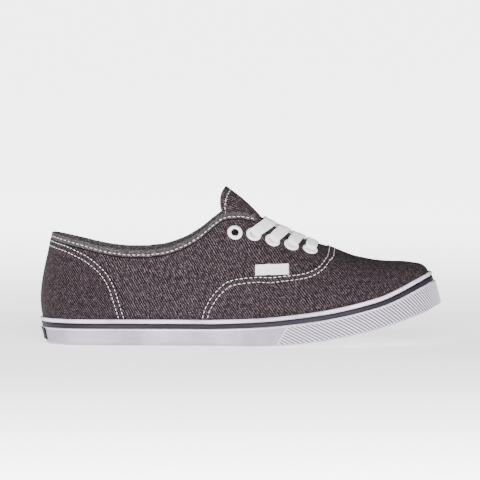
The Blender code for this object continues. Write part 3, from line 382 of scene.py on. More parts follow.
loop = np.array([(a, -o) for a, o, _ in OUTLINE] + [(a, i) for a, _, i in OUTLINE[-2:0:-1]])
nominal_width = HEEL_WIDTH + (BALL_WIDTH - HEEL_WIDTH) * soft_step(0.20, 0.70, loop[:, 0])
loop = np.stack([loop[:, 0] * LENGTH, loop[:, 1] * nominal_width], -1)
ring = np.eye(len(loop))
spline = 4 * ring + np.roll(ring, 1, 0) + np.roll(ring, -1, 0)
loop_slopes = np.linalg.solve(spline, 3 * (np.roll(loop, -1, 0) - np.roll(loop, 1, 0)))


def outline_at(station):
    """Point and outward direction of the rubber's outer wall, seen from above."""
    station = np.mod(np.asarray(station, float), ROUND)
    k = np.floor(station).astype(int) % ROUND
    t = (station - np.floor(station))[..., None]
    a, b = loop[k], loop[(k + 1) % ROUND]
    da, db = loop_slopes[k], loop_slopes[(k + 1) % ROUND]
    place = a * (1 + 2 * t) * (1 - t) ** 2 + da * t * (1 - t) ** 2
    place = place + b * t * t * (3 - 2 * t) - db * t * t * (1 - t)
    along = (b - a) * 6 * t * (1 - t) + da * (1 - t) * (1 - 3 * t) - db * t * (2 - 3 * t)
    along = unit(along)
    return place, np.stack([along[..., 1], -along[..., 0]], -1)


def rubber_point(station, height, outward):
    """A point on the rubber: height is square to the sole, outward from its outer wall."""
    station, height, outward = spread(station, height, outward)
    place, normal = outline_at(station)
    plan = place + normal * outward[..., None]
    x = plan[..., 0]
    at_heel = 1 - soft_step(0.0, 0.16, x / LENGTH)
    lean = np.maximum(HEEL_UNDERCUT * at_heel * (1 - height / BAND_HEEL), 0)
    base = np.stack([x + lean, plan[..., 1], sole_rise(x)], -1)
    return base + sole_normal(x) * height[..., None]


def band_top(station):
    """Height of the rubber band above the sole's underside."""
    place, _ = outline_at(station)
    along = place[..., 0] / LENGTH
    at_ball = (BAND_BALL - BAND_HEEL) * soft_step(0.40, 0.68, along)
    return BAND_HEEL + at_ball + (BAND_TOE - BAND_BALL) * soft_step(0.86, 1.0, along)


# %% The opening's edge and the walls below it
def half_way(station):
    """The station on the outer side that lies opposite, or the station itself."""
    station = np.mod(np.asarray(station, float), ROUND)
    return np.minimum(station, ROUND - station)


def rim_at(station):
    """The rim's point at a station on either side."""
    station = np.mod(np.asarray(station, float), ROUND)
    half = half_way(station)
    side = np.where(station <= TOE, -1.0, 1.0)
    back = RIM[3:0:-1] * np.array((-1, 1, 1, -1, 1))
    knots, along, middle, gap, up = np.concatenate([back, RIM]).T
    x = through(knots, along, half) * LENGTH
    centre = through(knots, middle, half) * BALL_WIDTH
    opening = np.where(half >= THROAT - 1e-9, 0.0, through(knots, gap, half) * BALL_WIDTH)
    named = np.interp(half, (4.5, 6.5), (COLLAR_HEIGHT, INSTEP_HEIGHT))
    toe_share = np.clip((half - THROAT) / (TOE - THROAT), 0, 1)
    height = through(knots, up, half) * named + (TOE_HEIGHT - RIM[-1, 4] * INSTEP_HEIGHT) * toe_share
    return np.stack([x, centre + side * opening, last_rise(x) + height], -1)


def ridge_slope(half):
    """How steeply the rim or ridge rises along the shoe."""
    behind, ahead = rim_at(half - 0.02), rim_at(np.minimum(half + 0.02, TOE))
    run = ahead[..., 0] - behind[..., 0]
    return (ahead[..., 2] - behind[..., 2]) / np.where(np.abs(run) < 1e-6, 1e-6, run)


def last_point(station, climb):
    """A point of the last's bare surface."""
    station, climb = spread(station, climb)
    foot = rubber_point(station, SOLE + GAP, -BAND_WALL)
    rim = rim_at(station)
    half = half_way(station)
    rise, bulge, reach, drop = (through(WALL[:, 0], WALL[:, k], half) for k in range(1, 5))
    _, outward = outline_at(station)
    outward = np.concatenate([outward, np.zeros(outward.shape[:-1] + (1,))], -1)
    up = sole_normal(foot[..., 0])
    height = np.sum((rim - foot) * up, -1)
    low = foot + up * (rise * height)[..., None] + outward * (bulge * BALL_WIDTH)[..., None]
    outward[..., 2] = outward[..., 0] * ridge_slope(half) * soft_step(9.0, THROAT, half)
    high = rim + outward * (reach * BALL_WIDTH)[..., None]
    high[..., 2] -= drop * height
    t = climb[..., None]
    ends = foot * (1 - t) ** 3 + rim * t ** 3
    return ends + low * 3 * t * (1 - t) ** 2 + high * 3 * t * t * (1 - t)

# %% [markdown]
# The last also says which way it faces at each point, so that a panel can lie its own
# thickness above it. On the toe's ridge the two sides meet, and both must give the same
# direction there, or a split would open along the ridge.


# %% The last's outward direction
def last_normal(station, climb):
    """The direction square to the last, outward."""
    station, climb = spread(station, climb)
    station = np.mod(station, ROUND)
    toe_side = np.where(station <= TOE, -1, 1)
    near_pole = (np.abs(station - TOE) < 0.05) & (climb > 0.9)
    at = np.where(near_pole, TOE + toe_side * 0.05, station)
    up = np.clip(climb, 0.01, 0.99)
    across = last_point(at + 0.02, up) - last_point(at - 0.02, up)
    along = last_point(at, up + 0.01) - last_point(at, up - 0.01)
    normal = unit(np.cross(across, along))
    half = half_way(station)
    slope = ridge_slope(half)
    on_ridge = unit(np.stack([-slope, np.zeros_like(slope), np.ones_like(slope)], -1))
    share = soft_step(0.955, 0.995, climb) * (half >= THROAT - 1e-9)
    return unit(normal + (on_ridge - normal) * share[..., None])


station_ticks = np.linspace(0, ROUND, 561)
climb_ticks = np.linspace(0, 1, 81)
last_net = last_point(station_ticks[:, None], climb_ticks[None, :])
last_middle = (last_net.min((0, 1)) + last_net.max((0, 1))) / 2
upper_low, upper_high = (np.array(corner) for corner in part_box("upper"))
shift = (upper_low + upper_high) / 2 - last_middle
shift[2] = 0.0
print("the last sits at", [round(1000 * s, 2) for s in shift], "mm from its own origin")

# %% [markdown]
# ## Cloth measure
# Twill has a direction and a pitch, and both would stretch if the pattern were simply
# projected. So the last keeps two more numbers for each point: how far along the shoe it
# lies, and how far down from the rim or ridge it is over the cloth. They are the UV map
# of every cloth piece, in metres, and folds and stitch lines are placed with them too.


# %% Distance down the cloth
THROAT_BLEND = 0.0065


def net_below(steps):
    """The length of each column of steps, counted from its top."""
    lengths = np.linalg.norm(steps, axis=-1)
    return np.concatenate([np.cumsum(lengths[:, ::-1], 1)[:, ::-1], np.zeros((len(lengths), 1))], 1)


# over the cloth without its run along the shoe, and with it
down_net = net_below(np.diff(last_net, axis=1)[..., 1:])
arc_net = net_below(np.diff(last_net, axis=1))


def read_net(net, station, climb):
    """A value between the ticks of a net over the last."""
    s = np.mod(station, ROUND) / ROUND * (len(station_ticks) - 1)
    c = np.clip(climb, 0, 1) * (len(climb_ticks) - 1)
    i = np.clip(s.astype(int), 0, len(station_ticks) - 2)
    k = np.clip(c.astype(int), 0, len(climb_ticks) - 2)
    fs, fc = s - i, c - k
    near = net[i, k] * (1 - fc) + net[i, k + 1] * fc
    far = net[i + 1, k] * (1 - fc) + net[i + 1, k + 1] * fc
    return near * (1 - fs) + far * fs


def cloth_at(station, climb):
    """Along the shoe, and over the cloth from the ridge as if it were flat, in metres."""
    x = last_point(station, climb)[..., 0]
    side = np.where(np.mod(station, ROUND) <= TOE, -1.0, 1.0)
    # the throat's last centimetre counts from the middle, so the measure has no jump there
    opening = through(RIM[:, 0], RIM[:, 3], np.maximum(half_way(station), 7.0)) * BALL_WIDTH
    down = read_net(down_net, station, climb) + np.minimum(opening, THROAT_BLEND)
    return np.stack([x, rim_at(station)[..., 2] + side * down], -1)


def climb_at_band(station):
    """The climb at which the last is as high as the rubber band there."""
    climbs = np.linspace(0, 1, 61)
    wall = last_point(np.full(61, station), climbs)
    foot = rubber_point(station, 0.0, -BAND_WALL)
    heights = (wall - foot) @ sole_normal(foot[0])
    top = int(np.argmax(heights)) + 1
    return np.interp(band_top(station), heights[:top], climbs[:top])


band_ticks = station_ticks[::4]
band_climb_ticks = [climb_at_band(station) for station in band_ticks]


def band_climb(station):
    """The climb at the rubber band's top edge."""
    return np.interp(np.mod(station, ROUND), band_ticks, band_climb_ticks)


def climb_below_rim(station, distance):
    """The climb that lies a distance below the rim, over the cloth."""
    station, distance = spread(station, distance)
    found = []
    for s, d in zip(station.flat, distance.flat):
        column = read_net(arc_net, np.full(len(climb_ticks), s), climb_ticks)
        found.append(np.interp(d, column[::-1], climb_ticks[::-1]))
    return np.reshape(found, station.shape)


print("cloth runs down by up to", round(1000 * float(down_net.max()), 1), "mm")

# %% [markdown]
# ## Folds
# Unworn canvas isn't flat: it dips where the shoe will bend behind the toe, hangs a
# little between the facing and the sole, and swells over the heel's stiffener. These soft
# troughs and ridges are placed one by one, each as a line on the cloth with a width and a
# height. Every piece that lies on the last takes the same folds, so panels stay together.
# Noise would look like crumpled paper, and a simulation would move the seams.

# %% Folds
# side (-1 outer, 1 inner, 0 both), start (along, down), end (along, down), width, height
FOLDS = [
    (-1, 0.206, 0.010, 0.190, 0.038, 0.0065, -0.0007),
    (-1, 0.221, 0.012, 0.210, 0.040, 0.0060, 0.0005),
    (-1, 0.232, 0.010, 0.226, 0.036, 0.0055, -0.0004),
    (1, 0.205, 0.010, 0.188, 0.040, 0.0065, -0.0007),
    (1, 0.222, 0.012, 0.208, 0.042, 0.0060, 0.0005),
    (0, 0.213, 0.000, 0.213, 0.008, 0.0070, -0.0003),
    (-1, 0.098, 0.026, 0.140, 0.032, 0.0090, -0.0007),
    (-1, 0.104, 0.040, 0.136, 0.046, 0.0080, 0.0005),
    (1, 0.092, 0.024, 0.142, 0.034, 0.0090, -0.0008),
    (-1, 0.060, 0.018, 0.074, 0.046, 0.0080, -0.0004),
    (1, 0.060, 0.018, 0.074, 0.046, 0.0080, -0.0004),
    (-1, 0.168, 0.034, 0.196, 0.042, 0.0060, -0.0004),
    (1, 0.162, 0.030, 0.196, 0.040, 0.0060, -0.0005),
]


def fold_height(station, climb):
    """How far the folds lift or lower the cloth here."""
    along = last_point(station, climb)[..., 0]
    down = read_net(down_net, station, climb)
    side = np.where(np.mod(station, ROUND) <= TOE, -1, 1)
    total = np.zeros(along.shape)
    for where, x0, d0, x1, d1, width, height in FOLDS:
        run = np.array((x1 - x0, d1 - d0))
        length = np.linalg.norm(run)
        share = np.clip(((along - x0) * run[0] + (down - d0) * run[1]) / length ** 2, 0, 1)
        off = np.hypot(along - x0 - share * run[0], down - d0 - share * run[1])
        here = 1.0 if where == 0 else (side == where)
        total = total + here * height * np.exp(-((off / width) ** 2))
    calm = soft_step(0.0, 0.10, climb - band_climb(station))
    rim_calm = np.where(half_way(station) < THROAT, 1 - soft_step(0.90, 0.99, climb), 1.0)
    return total * calm * rim_calm


def cloth_point(station, climb, lift=0.0):
    """A point on the upper, folds included, lifted off it, in the shoe's own frame."""
    station, climb, lift = spread(station, climb, lift)
    raised = lift + fold_height(station, climb)
    return last_point(station, climb) + last_normal(station, climb) * raised[..., None] + shift

# %% [markdown]
# ## Making a sheet
# Every piece here is first a flat grid from one operator, numbered from 0 to 1 both ways.
# A small function then says where each of its points goes. The same grid can be a
# panel of cloth, a band that closes on itself or a flat lace. Where edges meet, merging
# doubles sews them together.


# %% Sheets and pieces
def sheet(columns, rows, surface):
    """A grid laid on a surface, which gives places and, for cloth, its own measure."""
    bm = bmesh.new()
    bmesh.ops.create_grid(bm, x_segments=columns, y_segments=rows, size=0.5)
    flat = np.array([v.co[:2] for v in bm.verts]) + 0.5
    places, measure = surface(flat[:, 0], flat[:, 1])
    uv = bm.loops.layers.uv.new("cloth")
    for vert, place in zip(bm.verts, places):
        vert.co = place
    for face in bm.faces:
        for corner in face.loops:
            corner[uv].uv = measure[corner.vert.index]
    bmesh.ops.remove_doubles(bm, verts=bm.verts, dist=2e-6)
    bmesh.ops.dissolve_degenerate(bm, edges=bm.edges, dist=1e-7)
    return bm


def piece(name, bm, finish, slot, *nodes, smooth_angle=None):
    """Makes a bmesh a piece of the shoe that stands for CAD nodes."""
    mesh = bpy.data.meshes.new(name)
    bm.to_mesh(mesh)
    bm.free()
    made = bpy.data.objects.new(name, mesh)
    bpy.context.scene.collection.objects.link(made)
    for one in finish if isinstance(finish, (list, tuple)) else [finish]:
        mesh.materials.append(one.material)
    mesh.shade_smooth()
    if smooth_angle:
        mesh.set_sharp_from_angle(angle=math.radians(smooth_angle))
    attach(made, "root")
    if nodes:
        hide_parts(*nodes)
    print(name, "has", len(mesh.polygons), "faces")
    return made


# columns spaced evenly round the shoe, the same on both sides
half_ticks = np.linspace(0, TOE, 281)
edge_outer, edge_inner = outline_at(half_ticks)[0], outline_at(ROUND - half_ticks)[0]
half_run = (run_along(edge_outer) + run_along(edge_inner)) / 2
HALF_LENGTH = float(half_run[-1])


def station_at(share):
    """Share 0 to 1 of the way round, as a station."""
    outer = np.interp(share * 2 * HALF_LENGTH, half_run, half_ticks)
    inner = ROUND - np.interp((1 - share) * 2 * HALF_LENGTH, half_run, half_ticks)
    return np.where(share <= 0.5, outer, inner)


def run_at(station):
    """The way round to a station, in metres."""
    station = np.asarray(station, float)
    half = np.interp(np.minimum(station, ROUND - station), half_ticks, half_run)
    return np.where(station <= TOE, half, 2 * HALF_LENGTH - half)


print("way round the sole:", round(2000 * HALF_LENGTH), "mm")

# %% [markdown]
# ## Canvas
# The cloth is a dark twill: strong diagonal ribs about a millimetre and a half apart that
# fall towards the toe, each rib made of small yarn floats, with paler fibres between. The
# height of the ribs drives both the bump and the colour. The low parts between ribs are
# painted darker, a painted shade that agrees with the bump's light and dark, on top of the
# yarns' own uneven tone. The yarns' unevenness is noise stretched along the rib, and the
# cloth's slow fading is noise on a larger scale.

# %% Canvas finish
TWILL_PITCH = 0.00148


def canvas_finish(name, dark, light, pitch=TWILL_PITCH, lean=29, strength=1.0, span=(0.62, 1.22)):
    """Twill with ribs every pitch that lean by so many degrees."""
    finish = Finish(name, roughness=0.9, Specular_IOR_Level=0.10)
    lean = math.radians(lean)
    cloth = finish.cloth()
    u, v = finish.axes(cloth, "XY")
    across = u * math.cos(lean) + v * math.sin(lean)
    along = v * math.cos(lean) - u * math.sin(lean)
    slub_place = finish.node("CombineXYZ", {}, {0: across, 1: along * 0.45, 2: 0.0})
    slub = finish.noise(slub_place, 0.95 / pitch, 2.0, 0.65)
    wander = finish.noise(cloth, 160.0, 2.0) * 0.9
    turns = across / pitch + wander
    rib = turns.wave() * 0.5 + 0.5
    floats = (along / (pitch * 0.62) + turns * 0.5).wave() * 0.5 + 0.5
    yarn = finish.noise(cloth, 1.9 / pitch, 2.0, 0.6)
    fade = finish.noise(finish.place(), 42.0, 3.0, 0.55)
    height = rib * 0.34 + floats * rib * 0.16 + slub * 0.62 + yarn * 0.62
    # painted shade: the colour runs from dark in the ribs' low parts to light on their tops, over the
    # yarns' own uneven tone
    shade = finish.band(height + fade * 0.16, *span)
    fleck = finish.band(slub * 0.35 + yarn * 0.65 + rib * 0.10, 0.575, 0.68)
    colour = finish.blend(shade, dark, light)
    paler = tuple(min(1.0, c * 3.8) for c in light)
    finish.paint(fleck * 0.8, colour, paler)
    finish.set("Roughness", 0.95 - shade * 0.12)
    finish.relief(height, 0.00040 * strength)
    return finish


canvas = canvas_finish("grey_twill", (0.0030, 0.0020, 0.0025), (0.0415, 0.0310, 0.0355))
counter_canvas = canvas_finish(
    "heel_twill", (0.0024, 0.0016, 0.0020), (0.0325, 0.0234, 0.0272), 0.00128, 35, span=(0.70, 1.12),
)
toe_canvas = canvas_finish(
    "toe_twill", (0.0024, 0.0016, 0.0020), (0.0405, 0.0298, 0.0345), 0.00132, 33, span=(0.67, 1.18),
)
# the tape is lighter than the quarters' canvas: partly its own cloth, partly painted light on its inner
# half, which lies in shade above the near rim
tape_canvas = canvas_finish(
    "collar_tape_cloth", (0.016, 0.0134, 0.0146), (0.058, 0.0500, 0.0530), 0.0009, -60, 0.5,
)
print("canvas ribs every", round(1000 * TWILL_PITCH, 2), "mm")

# %% Lining finish
lining = Finish("lining_cloth", roughness=0.9, Sheen_Weight=0.2)
cloth = lining.cloth()
u, v = lining.axes(cloth, "XY")
tooth = u.wave(0.0011) * v.wave(0.0011) * 0.5 + 0.5
fluff = lining.noise(cloth, 900.0, 3.0)
mottle = lining.noise(lining.place(), 60.0, 3.0)
# the lining is several times lighter than the outer canvas: partly its own colour, partly painted light
# that lifts the shaded inside seen above the near rim
lining.paint(tooth * 0.5 + mottle * 0.5, (0.105, 0.088, 0.096), (0.185, 0.158, 0.170))
lining.relief(tooth * 0.6 + fluff * 0.4, 0.00015)

# %% [markdown]
# ## The upper
# The quarters and the toe box are one hollow shell of cloth, open at the collar, at the
# throat and underneath. The outside is one sheet round the whole last; where the two
# sides share the toe's ridge, merging sews them. Solidify then gives the sheet its real
# wall of two millimetres with the lining on its inside, and a bevel turns the cut edge.
# The eyelet holes are cut last, through both layers, because the top pair stays open.


# %% Eyelet places
UPPER_WALL = 0.0020
EYELET_FIRST, EYELET_PITCH = 0.4844, 0.0471
EYELET_SETBACKS = (0.0154, 0.0162, 0.0147, 0.0127, 0.0121)
EYELET_CUT = 0.0031
facing_halves = np.linspace(6.9, 9.3, 49)


def eyelet_at(number, side):
    """Station and climb of an eyelet: the first is the top one, side -1 is the outer."""
    setback = EYELET_SETBACKS[number]
    along = last_point(facing_halves, climb_below_rim(facing_halves, setback))[:, 0]
    half = np.interp((EYELET_FIRST + number * EYELET_PITCH) * LENGTH, along, facing_halves)
    station = half if side < 0 else ROUND - half
    return float(station), float(climb_below_rim(station, setback))


def seat(station, climb, lift=0.0, turn=0.0):
    """A matrix that stands on the cloth, its X axis level along the shoe."""
    station, climb = np.array(float(station)), np.array(float(climb))
    place = cloth_point(station, climb, lift)
    normal = Vector(last_normal(station, climb))
    along = Vector((1.0, 0.0, 0.0))
    along = (along - normal * along.dot(normal)).normalized()
    up = normal.cross(along)
    frame_axes = Matrix((along, up, normal)).transposed().to_4x4()
    return Matrix.Translation(Vector(place)) @ frame_axes @ Matrix.Rotation(turn, 4, "Z")


# %% The upper's shell
HIDDEN_ROWS = 0.12
RELAX_REACH, RELAX_PASSES = 0.007, 30


def upper_surface(u, v):
    """The whole last, with an eighth of the rows hidden behind the rubber band."""
    station = station_at(u)
    band = band_climb(station)
    below = band * v / HIDDEN_ROWS
    above = band + (1 - band) * (v - HIDDEN_ROWS) / (1 - HIDDEN_ROWS)
    climb = np.where(v < HIDDEN_ROWS, below, above)
    return cloth_point(station, climb), cloth_at(station, climb)


bm = sheet(360, 56, upper_surface)
# the columns crowd where the ridge ends at the toe, so they are relaxed there
ridge_end = Vector(cloth_point(TOE, 1.0))
crowded = [v for v in bm.verts if (v.co - ridge_end).length < RELAX_REACH]
all_ways = {"use_axis_x": True, "use_axis_y": True, "use_axis_z": True}
for _ in range(RELAX_PASSES):
    bmesh.ops.smooth_vert(bm, verts=crowded, factor=0.5, **all_ways)
bm.normal_update()
print("lowest facing at the ridge's end:", round(min(v.normal.z for v in crowded), 2))
upper = piece("upper_shell", bm, [canvas, lining], "canvas", "upper")


def line_inside(made, thickness, turned_edge):
    """Gives a sheet its wall, lined on the inside, with its cut edges turned."""
    wall = made.modifiers.new("wall", "SOLIDIFY")
    wall.thickness = thickness
    wall.offset = -1.0
    wall.material_offset = 1
    turned = made.modifiers.new("turned_edge", "BEVEL")
    turned.width = turned_edge
    turned.segments = 3
    turned.limit_method = "ANGLE"
    turned.angle_limit = math.radians(60)


line_inside(upper, UPPER_WALL, 0.0007)

# %% Eyelet holes
bm = bmesh.new()
for side in (-1, 1):
    for number in range(5):
        matrix = seat(*eyelet_at(number, side))
        bmesh.ops.create_cone(
            bm, cap_ends=True, segments=32, radius1=EYELET_CUT, radius2=EYELET_CUT,
            depth=0.012, matrix=matrix,
        )
punch_mesh = bpy.data.meshes.new("punch")
bm.to_mesh(punch_mesh)
bm.free()
punch = bpy.data.objects.new("punch", punch_mesh)
bpy.context.scene.collection.objects.link(punch)
holes = upper.modifiers.new("holes", "BOOLEAN")
holes.operation = "DIFFERENCE"
holes.solver = "EXACT"
holes.object = punch


def settle(made):
    """Turns a piece's modifiers into its mesh."""
    graph = bpy.context.evaluated_depsgraph_get()
    finished = bpy.data.meshes.new_from_object(made.evaluated_get(graph), depsgraph=graph)
    finished.name = made.name
    made.modifiers.clear()
    made.data = finished
    print(made.name, "settled with", len(finished.polygons), "faces")


settle(upper)
bpy.data.objects.remove(punch)

# %% [markdown]
# ## Panels sewn over the upper
# The toe piece and the heel counter are second layers of the same canvas. Each has a long
# curved edge that was folded under and sewn down with two rows. The panel is a fan of
# columns between that edge and the rubber band. Close to the edge the rows crowd and sink
# to the cloth below, which rounds the fold as it looks on the shoe.

# %% Panel edges
# the toe piece's edge on the outer side, seen from the side: along, height
TOE_PIECE_EDGE = [
    (0.3909, 0.120), (0.3982, 0.198), (0.4055, 0.278), (0.4236, 0.376), (0.4436, 0.445),
    (0.4673, 0.498), (0.4945, 0.520), (0.5287, 0.531), (0.5669, 0.527), (0.6022, 0.526),
    (0.6382, 0.523), (0.6629, 0.526), (0.6844, 0.541), (0.7004, 0.570), (0.7120, 0.615),
]
COUNTER_EDGE = [
    (0.2236, 0.120), (0.2116, 0.207), (0.2025, 0.290), (0.1949, 0.363), (0.1865, 0.438),
    (0.1764, 0.502), (0.1615, 0.567), (0.1404, 0.628), (0.1182, 0.678), (0.0942, 0.716),
    (0.0636, 0.758),
]
PANEL = 0.0008


def on_last(along, height):
    """The station and climb of the outer side's point at a place in the side view."""
    x = along * LENGTH
    z = float(last_rise(x)) + height * INSTEP_HEIGHT
    outer = last_net[: len(station_ticks) // 2 + 1]
    off = np.hypot(outer[..., 0] - x, outer[..., 2] - z)
    i, k = np.unravel_index(np.argmin(off), off.shape)
    station, climb = station_ticks[i], climb_ticks[k]
    for _ in range(8):
        here = last_point(station, climb)
        ds = (last_point(station + 0.01, climb) - here) / 0.01
        dc = (last_point(station, climb + 0.01) - here) / 0.01
        move = np.linalg.solve([[ds[0], dc[0]], [ds[2], dc[2]]], [x - here[0], z - here[2]])
        station, climb = station + float(move[0]), climb + float(move[1])
    return station, climb


def smooth_line(points, count):
    """Points spaced evenly over the cloth along a smooth line through stations and climbs."""
    points = np.array(points, float)
    knots = np.arange(len(points))
    t = np.linspace(0, len(points) - 1, 2000)
    line = np.stack([through(knots, points[:, k], t) for k in (0, 1)], -1)
    places = last_point(line[:, 0], line[:, 1])
    run = run_along(places)
    even = np.linspace(0, run[-1], count)
    return np.stack([np.interp(even, run, line[:, k]) for k in (0, 1)], -1)


toe_edge = [on_last(*spot) for spot in TOE_PIECE_EDGE] + [(9.33, 0.80), (9.37, 0.91), (9.41, 1.0)]
counter_edge = [on_last(*spot) for spot in COUNTER_EDGE]
counter_edge += [(0.70, counter_edge[-1][1] + 0.012), (0.0, counter_edge[-1][1] + 0.020)]
print("toe piece edge:", [(round(s, 2), round(c, 2)) for s, c in toe_edge])
print("counter edge:", [(round(s, 2), round(c, 2)) for s, c in counter_edge])


# %% Panel sheets
def inward(station, climb, d_station, d_climb, distance):
    """Moves points on the last a distance square to a line that runs (d_station, d_climb)."""
    here = last_point(station, climb)
    ds = (last_point(station + 0.01, climb) - here) / 0.01
    dc = (last_point(station, np.clip(climb + 0.01, 0, 1.2)) - here) / 0.01
    along = ds * d_station[:, None] + dc * d_climb[:, None]
    along /= np.linalg.norm(along, axis=1, keepdims=True) + 1e-12
    square = np.cross(last_normal(station, climb), along)
    ss, cc, sc = (ds * ds).sum(1), (dc * dc).sum(1), (ds * dc).sum(1)
    bs, bc = (square * ds).sum(1), (square * dc).sum(1)
    det = ss * cc - sc * sc
    return (
        station + distance * (bs * cc - bc * sc) / det,
        climb + distance * (bc * ss - bs * sc) / det,
    )


EDGE_ROWS = np.array([0.0, 0.0001, 0.0003, 0.0006, 0.0010, 0.0015, 0.0022])
EDGE_LIFTS = np.array([-0.0001, 0.45, 0.72, 0.92, 1.0, 1.0, 1.0])


def panel_surface(edge, foot_stations, rows, measure=cloth_at):
    """A fan of columns from the edge line (v = 1) down to the rubber band (v = 0)."""
    count = len(edge)
    foot = np.stack([foot_stations, band_climb(foot_stations) - 0.02], -1)

    def surface(u, v):
        column = u * (count - 1)
        k = np.clip(column.astype(int), 0, count - 2)
        f = (column - k)[:, None]
        top = edge[k] * (1 - f) + edge[k + 1] * f
        low = foot[k] * (1 - f) + foot[k + 1] * f
        length = np.linalg.norm(last_point(*top.T) - last_point(*low.T), axis=1) + 1e-6
        row = (1 - v) * (rows - 1)
        near = np.interp(row, np.arange(len(EDGE_ROWS)), EDGE_ROWS)
        rest = np.clip((row - len(EDGE_ROWS) + 1) / (rows - len(EDGE_ROWS)), 0, 1)
        start = np.minimum(near / length, 0.4)
        share = start + (1 - start) * rest
        spot = top + (low - top) * share[:, None]
        depth = np.interp(row, np.arange(len(EDGE_LIFTS)), EDGE_LIFTS)
        # on the toe's ridge the cloth goes on, so nothing is folded under there
        lift = GAP * 0.4 + PANEL * np.where(top[:, 1] < 1 - 1e-6, depth, 1.0)
        return cloth_point(*spot.T, lift), measure(*spot.T)

    return surface


def mirrored_edge(half_edge, foot_half):
    """Continues an outer side's edge and foot on the inner side."""
    other = half_edge[-2::-1].copy()
    other[:, 0] = ROUND - other[:, 0]
    foot_other = ROUND - foot_half[-2::-1]
    return np.concatenate([half_edge, other]), np.concatenate([foot_half, foot_other])


# %% Toe piece
seam_half = smooth_line(toe_edge, 170)
ridge_half = np.stack([np.linspace(9.41, TOE, 70), np.ones(70)], -1)[1:]
toe_half = np.concatenate([seam_half, ridge_half])
shares = np.concatenate([np.linspace(0, 1, 170), 1 + np.linspace(0, 1, 70)[1:]])
foot_half = np.interp(shares, (0.0, 0.12, 0.30, 0.45, 0.62, 0.80, 0.90, 1.0, 2.0),
                      (toe_edge[0][0], 5.75, 6.6, 7.3, 8.05, 9.0, 9.7, 10.6, TOE))
edge, feet = mirrored_edge(toe_half, foot_half)
bm = sheet(len(edge) - 1, 33, panel_surface(edge, feet, 34))
piece("toe_piece", bm, toe_canvas, "canvas", "vamp")

# %% Heel counter
def cloth_round_heel(station, climb):
    """Round the heel from its middle, positive on the outer side, and up the cloth."""
    round_heel = np.mod(station + TOE, ROUND) - TOE
    run = np.sign(round_heel) * run_at(np.abs(round_heel))
    return np.stack([run, rim_at(station)[..., 2] - read_net(down_net, station, climb)], -1)


counter_half = smooth_line(counter_edge[::-1], 110)
foot_half = np.interp(np.linspace(0, 1, 110), (0.0, 0.25, 0.5, 0.68, 0.85, 1.0),
                      (0.0, 1.0, 2.05, 2.85, 3.45, counter_edge[0][0]))
other = counter_half[:0:-1].copy()
other[:, 0] *= -1
edge = np.concatenate([other, counter_half])
feet = np.concatenate([-foot_half[:0:-1], foot_half])
bm = sheet(len(edge) - 1, 27, panel_surface(edge, feet, 28, measure=cloth_round_heel))
piece("heel_counter_cloth", bm, counter_canvas, "canvas", "heel_counter")

# %% [markdown]
# ## The collar tape
# A folded tape is sewn over the raw edge of the opening, half of it outside and half
# inside. It is one strip: up the outer wall, over the top in a small round, and down the
# lining. The last gives the outer wall; the round and the inside are worked out from the
# wall's thickness.

# %% Collar tape
TAPE_HEIGHT = 0.0048
TAPE = 0.0005
TAPE_CREST = 0.0007
TAPE_END = 7.75
METRES_PER_STATION = 0.022


def tape_surface(u, v):
    """Up the outer wall to out, over the top to over, and down the lining."""
    station = -TAPE_END + 2 * TAPE_END * u
    out, over = 0.40, 0.60
    middle = UPPER_WALL / 2
    radius = middle + TAPE + 0.0001
    drop = np.where(v < out, 1 - v / out, np.where(v > over, (v - over) / (1 - over), 0.0))
    climb = climb_below_rim(station, drop * TAPE_HEIGHT + 0.0001)
    turn = np.clip((v - out) / (over - out), 0, 1) * math.pi
    edge_sink = soft_step(0.0, 0.10, v) * (1 - soft_step(0.90, 1.0, v))
    reach = middle + (radius - middle) * edge_sink
    lift = -middle + np.cos(turn) * reach
    raise_up = np.sin(turn) * np.minimum(reach, TAPE_CREST)
    places = last_point(station, climb) + last_normal(station, climb) * lift[:, None] + shift
    places[:, 2] += raise_up
    run = (station + TAPE_END) * METRES_PER_STATION
    return places, np.stack([run, (v - 0.5) * 2.4 * TAPE_HEIGHT], -1)


piece("collar_tape", sheet(420, 26, tape_surface), tape_canvas, "canvas", "collar_binding")

# %% [markdown]
# Under the tape's folded edge runs a narrow near-black strip with a slight swell: a painted
# shadow of the tape's edge. It reads as the fine black line below the collar's stitches.


# %% Collar tape's painted shadow
TAPE_SHADOW = 0.0007


def tape_shadow_surface(u, v):
    """A narrow swelling just under the tape's edge, which carries the painted shadow."""
    station = -TAPE_END + 2 * TAPE_END * u
    climb = climb_below_rim(station, TAPE_HEIGHT + TAPE_SHADOW * (1.2 - 1.4 * v))
    lift = GAP * 0.3 + 0.00026 * np.sin(math.pi * v)
    run = (station + TAPE_END) * METRES_PER_STATION
    return cloth_point(station, climb, lift), np.stack([run, v * TAPE_SHADOW], -1)


# near-black cloth for the painted shadow under the tape's edge
tape_shadow_cloth = canvas_finish(
    "tape_shadow_cloth", (0.0020, 0.0015, 0.0017), (0.0060, 0.0045, 0.0052), 0.0006, 45, 0.5,
)
piece("collar_tape_shadow", sheet(420, 6, tape_shadow_surface), tape_shadow_cloth, "canvas", "collar_binding")

# %% [markdown]
# ## Rubber
# The band is off-white rubber, satin and a little uneven, because it is wrapped and glued
# by hand before it is cured. Its own colour is nearly even, with a faint cloudiness and a
# darker tint low down, next to the floor. Painted light is laid over it: a brighter lip and bead,
# painted-dark grooves on the toe bumper and a painted shadow on the dark stripe's top.
# The dark stripe and the heel patch are the same rubber with carbon black.


